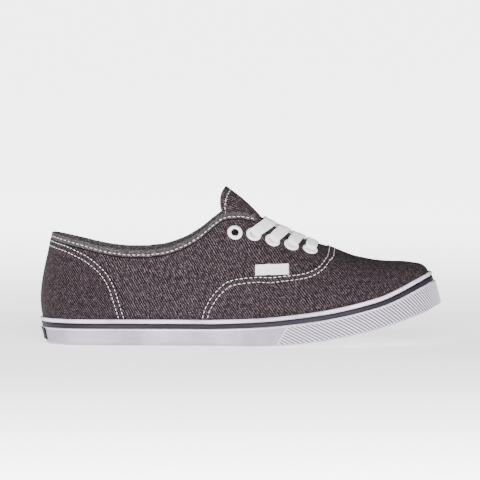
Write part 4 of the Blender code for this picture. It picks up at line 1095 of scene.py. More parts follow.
# %% Rubber finishes
def rubber_finish(name, clean, cloudy, roughness, low_down_colour=None, gloss=0.42):
    """Satin rubber with faint clouds and, where asked for, a darker colour low down by the floor."""
    finish = Finish(name, roughness=roughness, Specular_IOR_Level=gloss)
    place = finish.place()
    clouds = finish.noise(place, 26.0, 4.0, 0.6)
    pores = finish.noise(place, 2600.0, 2.0)
    colour = finish.blend(finish.band(clouds, 0.30, 0.72), clean, cloudy)
    # the colour turns darker in the lowest few millimetres above the floor
    if low_down_colour:
        height = finish.axes(place, "Z")[0]
        low = 1 - finish.band(height + clouds * 0.004, 0.001, 0.006)
        colour = finish.blend(low * 0.35, colour, low_down_colour)
    finish.set("Base Color", colour)
    finish.set("Roughness", clouds * 0.16 + (roughness - 0.08))
    finish.relief(pores * 0.4 + clouds * 0.6, 0.00008)
    return finish


def paint_light_and_shade(finish, low_shade, high_shade, low, high):
    """Paints light and shade into a finish: multiplies its colour by low_shade below low and by high_shade
    above high, read from the second number of its measure.
    """
    v = finish.axes(finish.cloth(), "Y")[0]
    whole = finish.surface.inputs["Base Color"].links[0].from_socket
    tint = finish.blend(finish.band(v, low, high), low_shade, high_shade)
    finish.set("Base Color", finish.blend(1.0, Value(finish, whole), tint, "MULTIPLY"))


white_rubber = rubber_finish(
    "white_rubber", (0.55, 0.480, 0.610), (0.27, 0.235, 0.312), 0.42, low_down_colour=(0.28, 0.25, 0.275),
)
ribbed_rubber = rubber_finish(
    "ribbed_rubber", (0.60, 0.555, 0.640), (0.50, 0.46, 0.54), 0.5, low_down_colour=(0.45, 0.42, 0.44),
)
# painted highlight: the lip, the groove and the bead are painted twice as bright as the wall below them
paint_light_and_shade(white_rubber, (0.80, 0.79, 0.81), (1.60, 1.58, 1.58), 0.0120, 0.0126)
# painted shade in the rib grooves, seven times darker than the crests, with a slight painted highlight on
# the crests
paint_light_and_shade(ribbed_rubber, (0.13, 0.12, 0.14), (1.16, 1.14, 1.16), 0.10, 0.92)
dark_rubber = rubber_finish(
    "dark_rubber", (0.0120, 0.0100, 0.0136), (0.0220, 0.0188, 0.0248), 0.55, gloss=0.10,
)
# painted shadow: the stripe's upper half, under the bead, is painted far darker than its lower half; the
# heel patch's measure lies above the step, so there it only darkens the whole patch evenly
paint_light_and_shade(dark_rubber, (1.3, 1.3, 1.3), (0.30, 0.30, 0.30), 0.0018, 0.0024)
sole_rubber = rubber_finish("sole_rubber", (0.58, 0.55, 0.56), (0.50, 0.47, 0.48), 0.6)
print("four rubbers mixed")

# %% [markdown]
# ## The rubber band
# Its cross-section is drawn once, from the foot to the bead: a rounded foot, a plain wall
# with a slight swell, a thin lip, the groove for the dark stripe, and the bead. Lofting
# that section round the outline gives the whole band. The rubber stands a little further
# out where the cloth swells, so the band always covers the cloth's edge.

# %% Band section
BEAD, STRIPE, GROOVE = 0.0025, 0.0036, 0.0008
FOOT_CLEAR = 0.0008
wall_gap = np.array([
    (rubber_point(s, band_top(s), 0.0) - last_point(s, band_climb(s)))[:2] @ outline_at(s)[1]
    for s in band_ticks
])
wall_extra_ticks = np.maximum(0.0, GAP + 0.0013 + GROOVE - wall_gap)


def wall_extra(station):
    """How far the rubber stands outside the nominal wall."""
    return np.interp(np.mod(station, ROUND), band_ticks, wall_extra_ticks)


# the section's points: height over a level, distance out of the wall
BAND_FOOT = [
    (0.0, -0.0031), (0.0, -0.0012), (0.0001, -0.0008), (0.0004, -0.0003), (0.0009, -0.00005),
    (0.0016, 0.00005),
]
BAND_LIP = [
    (-0.0012, -0.00002), (-0.0009, 0.00010), (-0.0006, 0.00030), (-0.0002, 0.00032),
    (0.0, 0.00015), (0.00008, -0.0003), (0.0001, -GROOVE),
]
BAND_BEAD = [
    (-0.0001, -GROOVE), (-0.00005, -0.0003), (0.0001, 0.00020), (0.0004, 0.00042),
    (0.0010, 0.00052), (0.0018, 0.00054),
]
BAND_CREST = [
    (-0.0009, 0.00050), (-0.0004, 0.00030), (-0.0001, -0.00005), (0.0, -0.0006), (-0.0002, -0.0012),
]
BAND_SWELL = 0.00022


def band_section(station):
    """Heights and outward distances of the section, from the foot up and over the bead."""
    top = band_top(station)
    extra = wall_extra(station)
    bead_low = top - BEAD
    groove_low = bead_low - STRIPE - 2 * GAP
    rows = [(np.full_like(top, FOOT_CLEAR + h), np.full_like(top, d)) for h, d in BAND_FOOT]
    wall_low, wall_high = FOOT_CLEAR + BAND_FOOT[-1][0], groove_low + BAND_LIP[0][0]
    for share in (0.2, 0.35, 0.5, 0.65, 0.8, 0.92):
        swell = BAND_SWELL * math.sin(math.pi * share)
        rows.append((wall_low + (wall_high - wall_low) * share, extra * share + swell))
    for level, section in ((groove_low, BAND_LIP), (bead_low, BAND_BEAD), (top, BAND_CREST)):
        rows += [(level + h, extra + d) for h, d in section]
    return np.array(rows)


def band_surface(u, v):
    """The section's rows, then one row on the cloth's foot, then the first row again."""
    station = station_at(u)
    rows = band_section(station)
    count = len(rows) + 2
    k = np.round(v * (count - 1)).astype(int)
    pick = np.where(k < len(rows), k, 0)
    at = np.arange(len(u))
    places = rubber_point(station, rows[pick, 0, at], rows[pick, 1, at])
    climb = band_climb(station)
    inside = last_point(station, climb * 0.995) + last_normal(station, climb) * 0.00012
    places = np.where((k == count - 2)[:, None], inside, places)
    # the measure's second number steers the painted highlight on the lip and the bead
    return places + shift, np.stack([run_at(station), v * 0.03], -1)


section_rows = len(band_section(station_ticks[:1])) + 2
bm = sheet(520, section_rows - 1, band_surface)
piece("rubber_band", bm, white_rubber, "white_rubber", "foxing", smooth_angle=55)

# %% [markdown]
# The dark stripe is a strip of black rubber pressed into the groove. Its face is slightly
# rounded and stays below the lip and the bead, which is why both throw a thin shadow on
# it in the picture. That shadow is also painted into the stripe's colour: its upper half is
# much darker than its lower half.


# %% Dark stripe
def stripe_surface(u, v):
    """The stripe's section, each row a share of its height and its depth."""
    station = station_at(u)
    top = band_top(station) - BEAD - GAP
    floor_depth = wall_extra(station) - GROOVE + GAP * 0.5
    section = np.array([
        (0.00, 0.0), (0.00, 0.00030), (0.04, 0.00045), (0.20, 0.00052), (0.50, 0.00055),
        (0.80, 0.00052), (0.96, 0.00045), (1.00, 0.00030), (1.00, 0.0), (0.00, 0.0),
    ])
    k = np.round(v * (len(section) - 1)).astype(int)
    height = top - STRIPE * (1 - section[k, 0])
    places = rubber_point(station, height, floor_depth + section[k, 1])
    # the measure's second number places the painted shadow on the stripe's upper half
    return places + shift, np.stack([run_at(station), v * 0.004], -1)


bm = sheet(520, 9, stripe_surface)
piece("dark_stripe", bm, dark_rubber, "dark_rubber", "pinstripe", smooth_angle=50)

# %% [markdown]
# ## The toe bumper
# An extra strip of rubber goes round the toe, rolled with fine slanting ribs so that it
# wears slowly. The ribs are 1.9 mm apart. They fall towards the toe, by a third of a right
# angle where the strip starts and almost upright at the tip, so their lean is a curve
# along the run. Both the relief and a painted shade come from the same wave: the grooves
# are painted much darker and the crests a little lighter.

# %% Toe bumper
RIB_PITCH = 0.0019
RIB_HEIGHT = 0.00055
BUMPER = 0.0008
BUMPER_START, BUMPER_SLANT = 7.72, 0.0085
BUMPER_LOW = FOOT_CLEAR + 0.0004
BUMPER_ROWS = 38


def bumper_top(station):
    """The bumper's upper edge, just under the dark stripe."""
    return band_top(station) - BEAD - STRIPE - 3 * GAP - 0.0003


bumper_from = float(run_at(BUMPER_START))
bumper_run = HALF_LENGTH - bumper_from
rib_ticks = np.linspace(-0.01, bumper_run, 400)
rib_lean = np.interp(rib_ticks / bumper_run, (0.0, 0.30, 0.50, 0.72, 1.0), (30, 39, 52, 63, 78))
rib_lean = np.radians(rib_lean)
rib_count = np.cumsum(np.sin(rib_lean)) * (rib_ticks[1] - rib_ticks[0]) / RIB_PITCH
print("bumper ribs a side:", round(float(rib_count[-1])))


def bumper_surface(u, v):
    """The strip with its ribs; its ends are cut on a slant."""
    k = np.round(v * BUMPER_ROWS)
    share = np.clip((k - 2) / (BUMPER_ROWS - 4), 0, 1)
    flat_run = bumper_run * (1 - np.abs(2 * u - 1))
    slant = (share - 0.5) * BUMPER_SLANT * (1 - soft_step(0.0, 0.25, flat_run / bumper_run))
    run = np.clip(flat_run + slant, -0.01, bumper_run)
    way = bumper_from + run
    station = station_at(np.where(u < 0.5, way, 2 * HALF_LENGTH - way) / (2 * HALF_LENGTH))
    low, high = BUMPER_LOW, bumper_top(station)
    height = low + (high - low) * share
    lean = np.interp(run, rib_ticks, rib_lean)
    turns = np.interp(run, rib_ticks, rib_count) + (height - low) * np.cos(lean) / RIB_PITCH
    wave = 0.5 - 0.5 * np.cos(2 * math.pi * turns)
    ribbed = soft_step(-0.02, 0.03, share) * (1 - soft_step(0.95, 1.0, share))
    wave = 1 - (1 - wave) * ribbed * soft_step(0.0006, 0.0014, flat_run)
    edge = soft_step(0, 2, k) * (1 - soft_step(BUMPER_ROWS - 2, BUMPER_ROWS, k))
    edge = edge * soft_step(0.0, 0.0004, flat_run)
    thickness = BUMPER * 0.75 + RIB_HEIGHT * (wave - 0.4)
    outward = wall_extra(station) * share + 0.00005 + thickness * edge
    # the measure's second number is the rib wave, which places the painted shade in the grooves
    return rubber_point(station, height, outward) + shift, np.stack([way, wave], -1)


bm = sheet(940, BUMPER_ROWS, bumper_surface)
piece("toe_bumper_ribbed", bm, ribbed_rubber, "white_rubber", "toe_bumper", smooth_angle=70)

# %% [markdown]
# ## The heel patch
# A plain dark patch of rubber is pressed over the back of the band, with a raised frame
# so that it doesn't look unfinished.

# %% Heel patch
PATCH_HALF, PATCH_HEIGHT = 0.0140, 0.011
PATCH, PATCH_SUNK = 0.0010, 0.0003
PATCH_LOW = FOOT_CLEAR + 0.0022


def patch_surface(u, v):
    """A plate round the heel's middle, lower inside its frame."""
    run = -PATCH_HALF + 2 * PATCH_HALF * u
    station = np.interp(np.abs(run), half_run, half_ticks) * np.sign(run)
    high = bumper_top(station) + 0.0005
    height = PATCH_LOW + (high - PATCH_LOW) * v
    rim = np.minimum(np.minimum(u, 1 - u) * 2 * PATCH_HALF, np.minimum(v, 1 - v) * PATCH_HEIGHT)
    out = PATCH * soft_step(0.0, 0.0005, rim) - PATCH_SUNK * soft_step(0.0012, 0.0016, rim)
    share = (height - FOOT_CLEAR) / (high - FOOT_CLEAR)
    places = rubber_point(station, height, wall_extra(station) * share + out + 0.00005)
    return places + shift, np.stack([run, height], -1)


piece("heel_patch_rubber", sheet(90, 36, patch_surface), dark_rubber, "dark_rubber", "heel_patch")

# %% [markdown]
# ## The outsole
# The underside isn't in the picture. It gets a plain tread of its kind: deep grooves
# straight across, where the CAD has them, with two shallow sipes between each pair, all
# ending at a smooth border. The sole is a closed slab made of one strip that goes across
# the tread, round the edge and back over the top.

# %% Outsole
TREAD_PITCH, TREAD_GROOVE, TREAD_DEPTH, TREAD_BORDER = 0.0115, 0.0024, 0.0016, 0.0075
TREAD_FROM, TREAD_TO = 0.055, 0.965
SIPE_DEPTH = 0.0007
SOLE_END = 0.010
first_groove = TREAD_FROM * LENGTH
groove_count = int((TREAD_TO - TREAD_FROM) * LENGTH / TREAD_PITCH) + 1
walls = []
for k in range(groove_count):
    centre = first_groove + k * TREAD_PITCH
    for wall in (centre - TREAD_GROOVE / 2, centre + TREAD_GROOVE / 2):
        walls += [wall - 0.00012, wall + 0.00012]
    for sipe in (centre + TREAD_PITCH / 3, centre + 2 * TREAD_PITCH / 3):
        walls += [sipe - 0.0006, sipe - 0.0003, sipe + 0.0003, sipe + 0.0006]
heel_end, toe_end = edge_outer[:, 0].min() + BAND_WALL, edge_outer[:, 0].max() - BAND_WALL
round_end = SOLE_END * (1 - np.cos(np.linspace(0, math.pi / 2, 9)))
walls = [x for x in walls if heel_end + SOLE_END < x < toe_end - SOLE_END]
tread_x = np.unique(np.round(np.concatenate([heel_end + round_end, toe_end - round_end, walls]), 6))
print("tread columns:", len(tread_x), "grooves:", groove_count)


def tread_depth(x, inside):
    """How deep the tread is cut here."""
    step = (x - first_groove) / TREAD_PITCH
    near = np.abs(step - np.round(step)) * TREAD_PITCH
    main = (near < TREAD_GROOVE / 2) & (step > -0.2) & (step < groove_count - 0.8)
    third = np.abs(step * 3 - np.round(step * 3)) * TREAD_PITCH / 3
    sipe = (third < 0.00045) & ~main & (np.abs(step - np.round(step)) > 0.2)
    sipe = sipe & (step > 0) & (step < groove_count - 1)
    return (main * TREAD_DEPTH + sipe * SIPE_DEPTH) * inside


# rows 0 to 16 cross the tread from outer to inner, 17 climbs, 18 to 24 come back on top
SOLE_ROWS = 25
tread_border = [0.86, 0.9, 0.99, 1.0]
across_tread = np.array([-y for y in tread_border[::-1]] + list(np.linspace(-0.84, 0.84, 9)) + tread_border)


def sole_surface(u, v):
    """A closed slab, its ends rounded as seen from above."""
    x = tread_x[np.round(u * (len(tread_x) - 1)).astype(int)]
    low_y = np.interp(x, edge_outer[:, 0], edge_outer[:, 1] + BAND_WALL)
    high_y = np.interp(x, edge_inner[:, 0], edge_inner[:, 1] - BAND_WALL)
    ends = np.clip(np.minimum(x - heel_end, toe_end - x) / SOLE_END, 0, 1)
    middle = (low_y + high_y) / 2
    half = (high_y - low_y) / 2 * np.sqrt(1 - (1 - ends) ** 2)
    k = np.round(v * SOLE_ROWS).astype(int)
    side = np.where(k <= 16, across_tread[np.minimum(k, 16)], 1.0 - 2.0 * (k - 17) / 7.0)
    side = np.where(k >= 24, -1.0, side)
    border = half * (1 - np.abs(side))
    inside = (border > TREAD_BORDER - 0.0005).astype(float)
    rise = np.where(k <= 16, tread_depth(x, inside), SOLE)
    rise = np.where(np.isin(k, (0, 16, SOLE_ROWS)), 0.0003, rise)
    places = np.stack([x, middle + half * side, sole_rise(x)], -1)
    places = places + sole_normal(x) * rise[:, None]
    return places + shift, places[:, :2]


bm = sheet(len(tread_x) - 1, SOLE_ROWS, sole_surface)
bmesh.ops.recalc_face_normals(bm, faces=bm.faces)
piece("outsole_tread", bm, sole_rubber, "white_rubber", "outsole", smooth_angle=35)

# %% [markdown]
# ## The insole
# The footbed is a thin foam sheet covered with cloth. Its edge turns up slightly against
# the wall and its middle is dished under the heel. It is seen only through the opening.

# %% Insole
BED = 0.0036
BED_ROWS = 20


def bed_surface(u, v):
    """From the middle line out over the top, down the edge and back underneath."""
    k = np.round(v * BED_ROWS)
    top = k <= 16
    share = np.where(top, k / 16, 1.0)
    station = station_at(u)
    edge = rubber_point(station, SOLE + GAP, -(BAND_WALL + UPPER_WALL + 2 * GAP))
    spine_x = np.clip(edge[:, 0], 0.030, 0.240)
    spine_z = sole_rise(spine_x) + SOLE + GAP
    spine = np.stack([spine_x, np.full_like(spine_x, 0.002), spine_z], -1)
    cup = 0.0012 * share ** 4 - 0.0008 * (1 - share) * (1 - soft_step(0.2, 0.4, spine_x / LENGTH))
    height = np.where(top, BED + cup, np.interp(k, (16, 18, 20), (BED + 0.0012, 0.0004, 0.0)))
    height = np.where(k == 17, BED + 0.0007, height)
    back = np.where(k > 18, (k - 18) / 2.0, 0.0)
    places = spine + (edge - spine) * (share * (1 - 0.985 * back))[:, None]
    places = places + sole_normal(places[:, 0]) * height[:, None]
    return places + shift, places[:, :2]


insole_cloth = canvas_finish(
    "insole_cloth", (0.10, 0.095, 0.10), (0.19, 0.18, 0.19), 0.0012, 45, 0.6,
)
piece("footbed", sheet(220, BED_ROWS, bed_surface), insole_cloth, "lining", "insole")

# %% [markdown]
# ## The tongue
# An arched tongue of the same canvas lies under the lacing, with its free top standing up
# behind it. Its edge is folded and sewn with one row. The arch follows a middle line and
# a radius that the CAD uses too; here the sheet is finer and its corners are rounder.

# %% Tongue
TONGUE_WALL = 0.0016
# along, height, radius
TONGUE = np.array([
    (0.742, 0.598, 0.270), (0.713, 0.647, 0.240), (0.669, 0.719, 0.212),
    (0.629, 0.800, 0.192), (0.589, 0.862, 0.180), (0.569, 0.887, 0.172),
    (0.548, 0.968, 0.165), (0.509, 1.086, 0.162), (0.4625, 1.194, 0.172),
])
tongue_ticks = np.linspace(0, 1, len(TONGUE))


def tongue_middle(share):
    """The crown's line along and up the shoe."""
    x = through(tongue_ticks, TONGUE[:, 0], share) * LENGTH
    return np.stack([x, through(tongue_ticks, TONGUE[:, 1], share) * INSTEP_HEIGHT + last_rise(x)], -1)


def tongue_point(share, angle, lift):
    """A point at an angle round the arch, which stands square to the crown's line."""
    radius = through(tongue_ticks, TONGUE[:, 2], share) * BALL_WIDTH
    behind, ahead = np.maximum(share - 0.01, 0.0), np.minimum(share + 0.01, 1.0)
    way = unit(tongue_middle(ahead) - tongue_middle(behind))
    crown = tongue_middle(share)
    reach = radius + lift
    drop = radius - reach * np.cos(angle)
    x = crown[..., 0] - way[..., 1] * drop
    z = crown[..., 1] + way[..., 0] * drop
    return np.stack([x, reach * np.sin(angle), z], -1) + shift


def tongue_spread(share):
    """How far round the arch reaches; it is wider behind the empty top eyelets."""
    widen = soft_step(0.4, 0.9, share)
    behind_eyelets = soft_step(0.50, 0.72, share) * (1 - soft_step(0.83, 0.92, share))
    return math.radians(58) + math.radians(38) * widen + math.radians(26) * behind_eyelets


def tongue_surface(u, v, lift=0.0):
    """The tongue's outside, its corners rounded by pulling them down."""
    side = -1 + 2 * u
    share = v * (1 - 0.09 * side ** 4)
    angle = side * tongue_spread(share)
    radius = through(tongue_ticks, TONGUE[:, 2], share) * BALL_WIDTH
    return tongue_point(share, angle, lift), np.stack([share * 0.095, radius * angle], -1)


bm = sheet(72, 96, tongue_surface)
tongue_canvas = canvas_finish(
    "tongue_twill", (0.004, 0.0026, 0.0032), (0.046, 0.033, 0.0385), lean=60,
)
tongue = piece("tongue_cloth", bm, [tongue_canvas, lining], "canvas", "tongue")
line_inside(tongue, TONGUE_WALL, 0.0006)
settle(tongue)

# %% [markdown]
# ## Eyelets
# Each eyelet is a rolled metal ring under white enamel. A turner would call it a lathe
# part: one profile, spun round its axis. The lip rolls over the cloth and the barrel goes
# through it. The top pair stays empty, so its hole must really be open. The barrel's inside
# is coloured near-black, a painted shade that keeps the hole dark.

# %% Enamel and eyelets
enamel = Finish("white_enamel", roughness=0.28, Coat_Weight=0.4, Coat_Roughness=0.15)
haze = enamel.noise(enamel.place(), 900.0, 3.0)
enamel.paint(haze, (0.95, 0.91, 0.945), (0.86, 0.82, 0.86))
enamel.set("Roughness", haze * 0.2 + 0.22)
enamel.relief(haze, 0.00004)
# painted shade: a near-black colour for the inside of the barrel, so the hole reads dark
barrel_painted_shade = rubber_finish(
    "barrel_painted_shade", (0.020, 0.018, 0.022), (0.034, 0.030, 0.036), 0.7, gloss=0.1,
)

BARREL_RADIUS = 0.00268
# the ring's section: distance from its axis, height over the cloth
RING_PROFILE = [
    (0.00262, -0.0006), (0.00262, 0.0003), (0.00270, 0.00062), (0.00300, 0.00090),
    (0.00350, 0.00104), (0.00400, 0.00102), (0.00455, 0.00088), (0.00500, 0.00064),
    (0.00526, 0.00038), (0.00530, 0.00018), (0.00520, 0.00004), (0.00470, 0.00002),
    (0.00310, 0.00002), (0.00310, -0.0006),
]
for side, side_name in ((-1, "outer"), (1, "inner")):
    for number in range(5):
        bm = bmesh.new()
        ring = [bm.verts.new((r, 0, z)) for r, z in RING_PROFILE]
        edges = [bm.edges.new((a, b)) for a, b in zip(ring, ring[1:] + ring[:1])]
        bmesh.ops.spin(
            bm, geom=ring + edges, cent=(0, 0, 0), axis=(0, 0, 1),
            angle=2 * math.pi, steps=40, use_merge=True, use_duplicate=False,
        )
        bmesh.ops.remove_doubles(bm, verts=bm.verts, dist=1e-6)
        bmesh.ops.recalc_face_normals(bm, faces=bm.faces)
        for face in bm.faces:
            middle = face.calc_center_median()
            in_barrel = middle.xy.length < BARREL_RADIUS and middle.z < 0.0005
            # faces inside the barrel take the painted shade
            face.material_index = int(in_barrel)
        bmesh.ops.transform(bm, matrix=seat(*eyelet_at(number, side), lift=0.0003), verts=bm.verts)
        node = f"eyelet_{side_name}_{number + 1}"
        piece(f"ring_{side_name}_{number + 1}", bm, [enamel, barrel_painted_shade], "eyelet_enamel", node)

# %% [markdown]
# ## The lace
# A flat woven lace, eight millimetres wide. It comes up through each eyelet, bunched by
# the hole, spreads out over the facing, crosses the tongue and dives under the other
# side. Each arm is a tape of its own: a grid whose columns follow a path and whose rows
# go round a flat section with soft edges. The weave is a fine herringbone in the tape's
# own measure, so it follows every bend.

# %% Lace finish
lace_finish = Finish("lace_weave", roughness=0.85, Sheen_Weight=0.3)
cloth = lace_finish.cloth()
u, v = lace_finish.axes(cloth, "XY")
chevron = (v * 1000.0).math("PINGPONG", 1.0) * 0.9
braid = (u * 1000.0 / 0.8 + chevron).wave() * 0.5 + 0.5
ends = (v * (2 * math.pi / 0.001)).math("COSINE") * 0.5 + 0.5
fuzz = lace_finish.noise(cloth, 2200.0, 3.0, 0.6)
height = braid * 0.55 + ends * 0.25 + fuzz * 0.3
lace_finish.paint(height, (0.80, 0.745, 0.78), (0.97, 0.935, 0.955))
lace_finish.relief(height, 0.00022)

# %% Lace arms
LACE_WIDTH, LACE_THICKNESS, LACE_RISE = 0.0082, 0.0012, 0.0006
# row, eyelet, along at the facing's edge, along and height in the middle, whether it crosses
LACING = [
    ("second", 1, 0.5690, 0.5780, 0.916, True),
    ("third", 2, 0.6050, 0.6120, 0.858, True),
    ("fourth", 3, 0.6410, 0.6480, 0.794, True),
    ("bottom", 4, 0.6785, 0.6805, 0.730, False),
]
rim_halves = np.linspace(6.9, THROAT, 97)
rim_along = rim_at(rim_halves)[:, 0]


# inside the eyelet: depth along its axis, distance towards the facing's edge, share of width
THROUGH_EYELET = [
    (-0.0052, -0.0050, 0.75), (-0.0040, -0.0016, 0.60), (-0.0015, -0.0002, 0.58), (0.0006, 0.0, 0.62),
]


def arm_path(eyelet, over_edge, along, up, crossed, side, lift_in_middle):
    """Path points, their up directions, and the tape's width share and thickness there."""
    station_a, climb_a = eyelet_at(eyelet, side)
    half_b = np.interp(over_edge * LENGTH, rim_along, rim_halves)
    station_b = half_b if side < 0 else ROUND - half_b
    hole, axis = cloth_point(station_a, climb_a), last_normal(station_a, climb_a)
    towards = cloth_point(station_b, 1.0) - hole
    towards = unit(towards - axis * (towards @ axis))
    knots = []
    for depth, forward, width in THROUGH_EYELET:
        spot_up = -towards if depth > -0.003 else axis
        knots.append((hole + axis * depth + towards * forward, spot_up, width, 1.9))
    knots.append((hole + axis * 0.0021 + towards * 0.0006, axis * 0.7 - towards * 0.7, 0.90, 1.4))
    # over the facing to its edge
    lift_a, lift_b = 0.0024, LACE_THICKNESS / 2 + LACE_RISE
    near_a = last_point(half_way(station_a), climb_a)
    near_b = last_point(half_b, 1.0)
    for share in (0.25, 0.45, 0.72, 1.0):
        half, climb = half_b, 1.0
        if share < 1:
            x, _, z = near_a + (near_b - near_a) * share
            half, climb = on_last(x / LENGTH, (z - float(last_rise(x))) / INSTEP_HEIGHT)
        station, climb = half if side < 0 else ROUND - half, min(climb, 1.0)
        lift = lift_a + (lift_b - lift_a) * float(soft_step(0.3, 1.0, share))
        width = 0.97 + 0.03 * float(soft_step(0.20, 0.50, share))
        normal = last_normal(station, climb)
        spot = last_point(station, climb) + normal * lift + shift
        knots.append((spot, normal, width, 1.0 + 0.3 * (1 - share)))
    # over the tongue to the middle
    x = along * LENGTH
    slope = float(ridge_slope(np.interp(x, rim_along, rim_halves)))
    up_way = unit(np.array([-slope, 0.0, 1.0]))
    centre = np.array([x, 0.0, float(last_rise(x)) + up * INSTEP_HEIGHT]) + up_way * lift_in_middle + shift
    last_knot = knots[-1][0]
    knots.append((last_knot * 0.35 + centre * 0.65 + up_way * 0.0004, up_way, 1.0, 1.0))
    knots.append((centre, up_way, 1.0, 1.0))
    if crossed:
        # down under the other side's facing
        far_half = np.interp(x + 0.4 * (x - over_edge * LENGTH), rim_along, rim_halves)
        far = rim_at(far_half) + shift
        step = (centre - last_knot) / abs(last_knot[1] - shift[1])
        stop = abs(far[1] - shift[1])
        for share, sink in ((0.55, 0.0004), (0.85, 0.0013), (1.12, 0.0030)):
            end = centre + step * stop * share
            end[1] = shift[1] - side * stop * share
            end[2] = min(end[2], far[2] - 0.0004) - sink + (0.0006 if share < 0.6 else 0.0)
            knots.append((end, up_way, 1.0, 1.0))
    return knots


def tape_mesh(knots, samples, measure_from=0.0):
    """Flat tape with soft edges along a path."""
    places, ups, widths, thick = (np.array(column) for column in zip(*knots))
    run = run_along(places)
    fine = np.linspace(0, run[-1], samples)
    centre = np.stack([through(run, places[:, k], fine) for k in range(3)], -1)
    for _ in range(3):
        centre[1:-1] = (centre[:-2] + 2 * centre[1:-1] + centre[2:]) / 4
    up = np.stack([np.interp(fine, run, ups[:, k]) for k in range(3)], -1)
    width = through(run, widths, fine) * LACE_WIDTH / 2
    thickness = through(run, thick, fine) * LACE_THICKNESS / 2
    ahead = unit(np.gradient(centre, axis=0))
    up = unit(up - ahead * (up * ahead).sum(1, keepdims=True))
    across = np.cross(ahead, up)

    def surface(u, v):
        k = np.round(u * (samples - 1)).astype(int)
        angle = 2 * math.pi * v
        side = np.sign(np.cos(angle)) * np.abs(np.cos(angle)) ** 0.55
        height = np.sign(np.sin(angle)) * np.abs(np.sin(angle)) ** 0.75
        end = np.minimum(1.0, np.minimum(k, samples - 1 - k))
        crown = 1.0 + 0.18 * np.cos(math.pi * side)
        places = centre[k] + across[k] * (side * width[k] * end)[:, None]
        places = places + up[k] * (height * thickness[k] * crown * 0.85 * end)[:, None]
        return places, np.stack([fine[k] + measure_from, side * LACE_WIDTH / 2], -1)

    return sheet(samples - 1, 20, surface)


def joined(parts):
    """Several bmeshes as one."""
    whole = bmesh.new()
    for part in parts:
        spare = bpy.data.meshes.new("spare")
        part.to_mesh(spare)
        part.free()
        whole.from_mesh(spare)
        bpy.data.meshes.remove(spare)
    return whole


for name, *path, crossed in LACING:
    half = LACE_THICKNESS / 2 if crossed else 0.0
    near, far = (arm_path(*path, crossed, side, -side * half) for side in (-1, 1))
    if crossed:
        bm = joined([tape_mesh(near, 90), tape_mesh(far, 90, 0.05)])
        node = f"lace_crossing_{name}"
    else:
        bm = tape_mesh(near + far[-2::-1], 150)
        node = f"lace_bar_{name}"
    bmesh.ops.recalc_face_normals(bm, faces=bm.faces)
    piece(f"lace_{name}", bm, lace_finish, "lace", node)

# %% [markdown]
# ## The side label
# A small woven label is sewn where the facing ends. It is plain, and gets a woven border
# and a turned edge, so that it looks finished from close by.

# %% Label
label_finish = Finish("label_weave", roughness=0.8, Sheen_Weight=0.2)
cloth = label_finish.cloth()
u, v = label_finish.axes(cloth, "XY")
picks = v.wave(0.00045) * 0.5 + 0.5
ends = u.wave(0.00045) * 0.5 + 0.5
fuzz = label_finish.noise(cloth, 1800.0, 3.0)
height = picks * 0.5 + ends * 0.25 + fuzz * 0.35
label_finish.paint(height, (0.78, 0.73, 0.76), (0.93, 0.89, 0.915))
label_finish.relief(height, 0.00012)
LABEL_LENGTH, LABEL_HEIGHT, LABEL = 0.0232, 0.0072, 0.0007
LABEL_ALONG, LABEL_UP, LABEL_TILT = 0.5775 * LENGTH, 0.580 * INSTEP_HEIGHT, 0.03
label_net = []
for dx in np.linspace(-0.5, 0.5, 5) * LABEL_LENGTH:
    for dz in np.linspace(-0.5, 0.5, 3) * LABEL_HEIGHT:
        x, z = LABEL_ALONG + dx, LABEL_UP + dz + LABEL_TILT * dx
        label_net.append(on_last(x / LENGTH, (z - float(last_rise(x))) / INSTEP_HEIGHT))
label_net = np.reshape(label_net, (5, 3, 2))


def label_spot(u, v):
    """Station and climb on the label at shares of its length and height."""
    i = np.clip((u * 4).astype(int), 0, 3)
    k = np.clip((v * 2).astype(int), 0, 1)
    fu, fv = (u * 4 - i)[:, None], (v * 2 - k)[:, None]
    low = label_net[i, k] * (1 - fu) + label_net[i + 1, k] * fu
    high = label_net[i, k + 1] * (1 - fu) + label_net[i + 1, k + 1] * fu
    return (low * (1 - fv) + high * fv).T


def label_surface(u, v):
    """The label with a turned edge and a raised border."""
    station, climb = label_spot(u, v)
    rim = np.minimum(np.minimum(u, 1 - u) * LABEL_LENGTH, np.minimum(v, 1 - v) * LABEL_HEIGHT)
    lift = 0.0001 + LABEL * soft_step(0.0, 0.0004, rim) - 0.00018 * soft_step(0.0007, 0.0010, rim)
    return cloth_point(station, climb, lift), np.stack([u * LABEL_LENGTH, v * LABEL_HEIGHT], -1)


piece("blank_label", sheet(96, 40, label_surface), label_finish, "lace", "side_label")

# %% [markdown]
# ## Stitches
# White thread shows wherever two layers are sewn. One stitch is a small sausage of
# thread whose ends sink into the cloth. Hundreds of them are laid along a line on the
# last, each turned to the line's way and to the cloth's face, and joined into one piece
# for each seam.

# %% Thread and stitching
thread = Finish("white_thread", roughness=0.7, Sheen_Weight=0.2)
twist = thread.noise(thread.place(), 3200.0, 2.0)
thread.paint(twist, (0.84, 0.79, 0.82), (0.97, 0.93, 0.955))
thread.relief(twist, 0.00006)


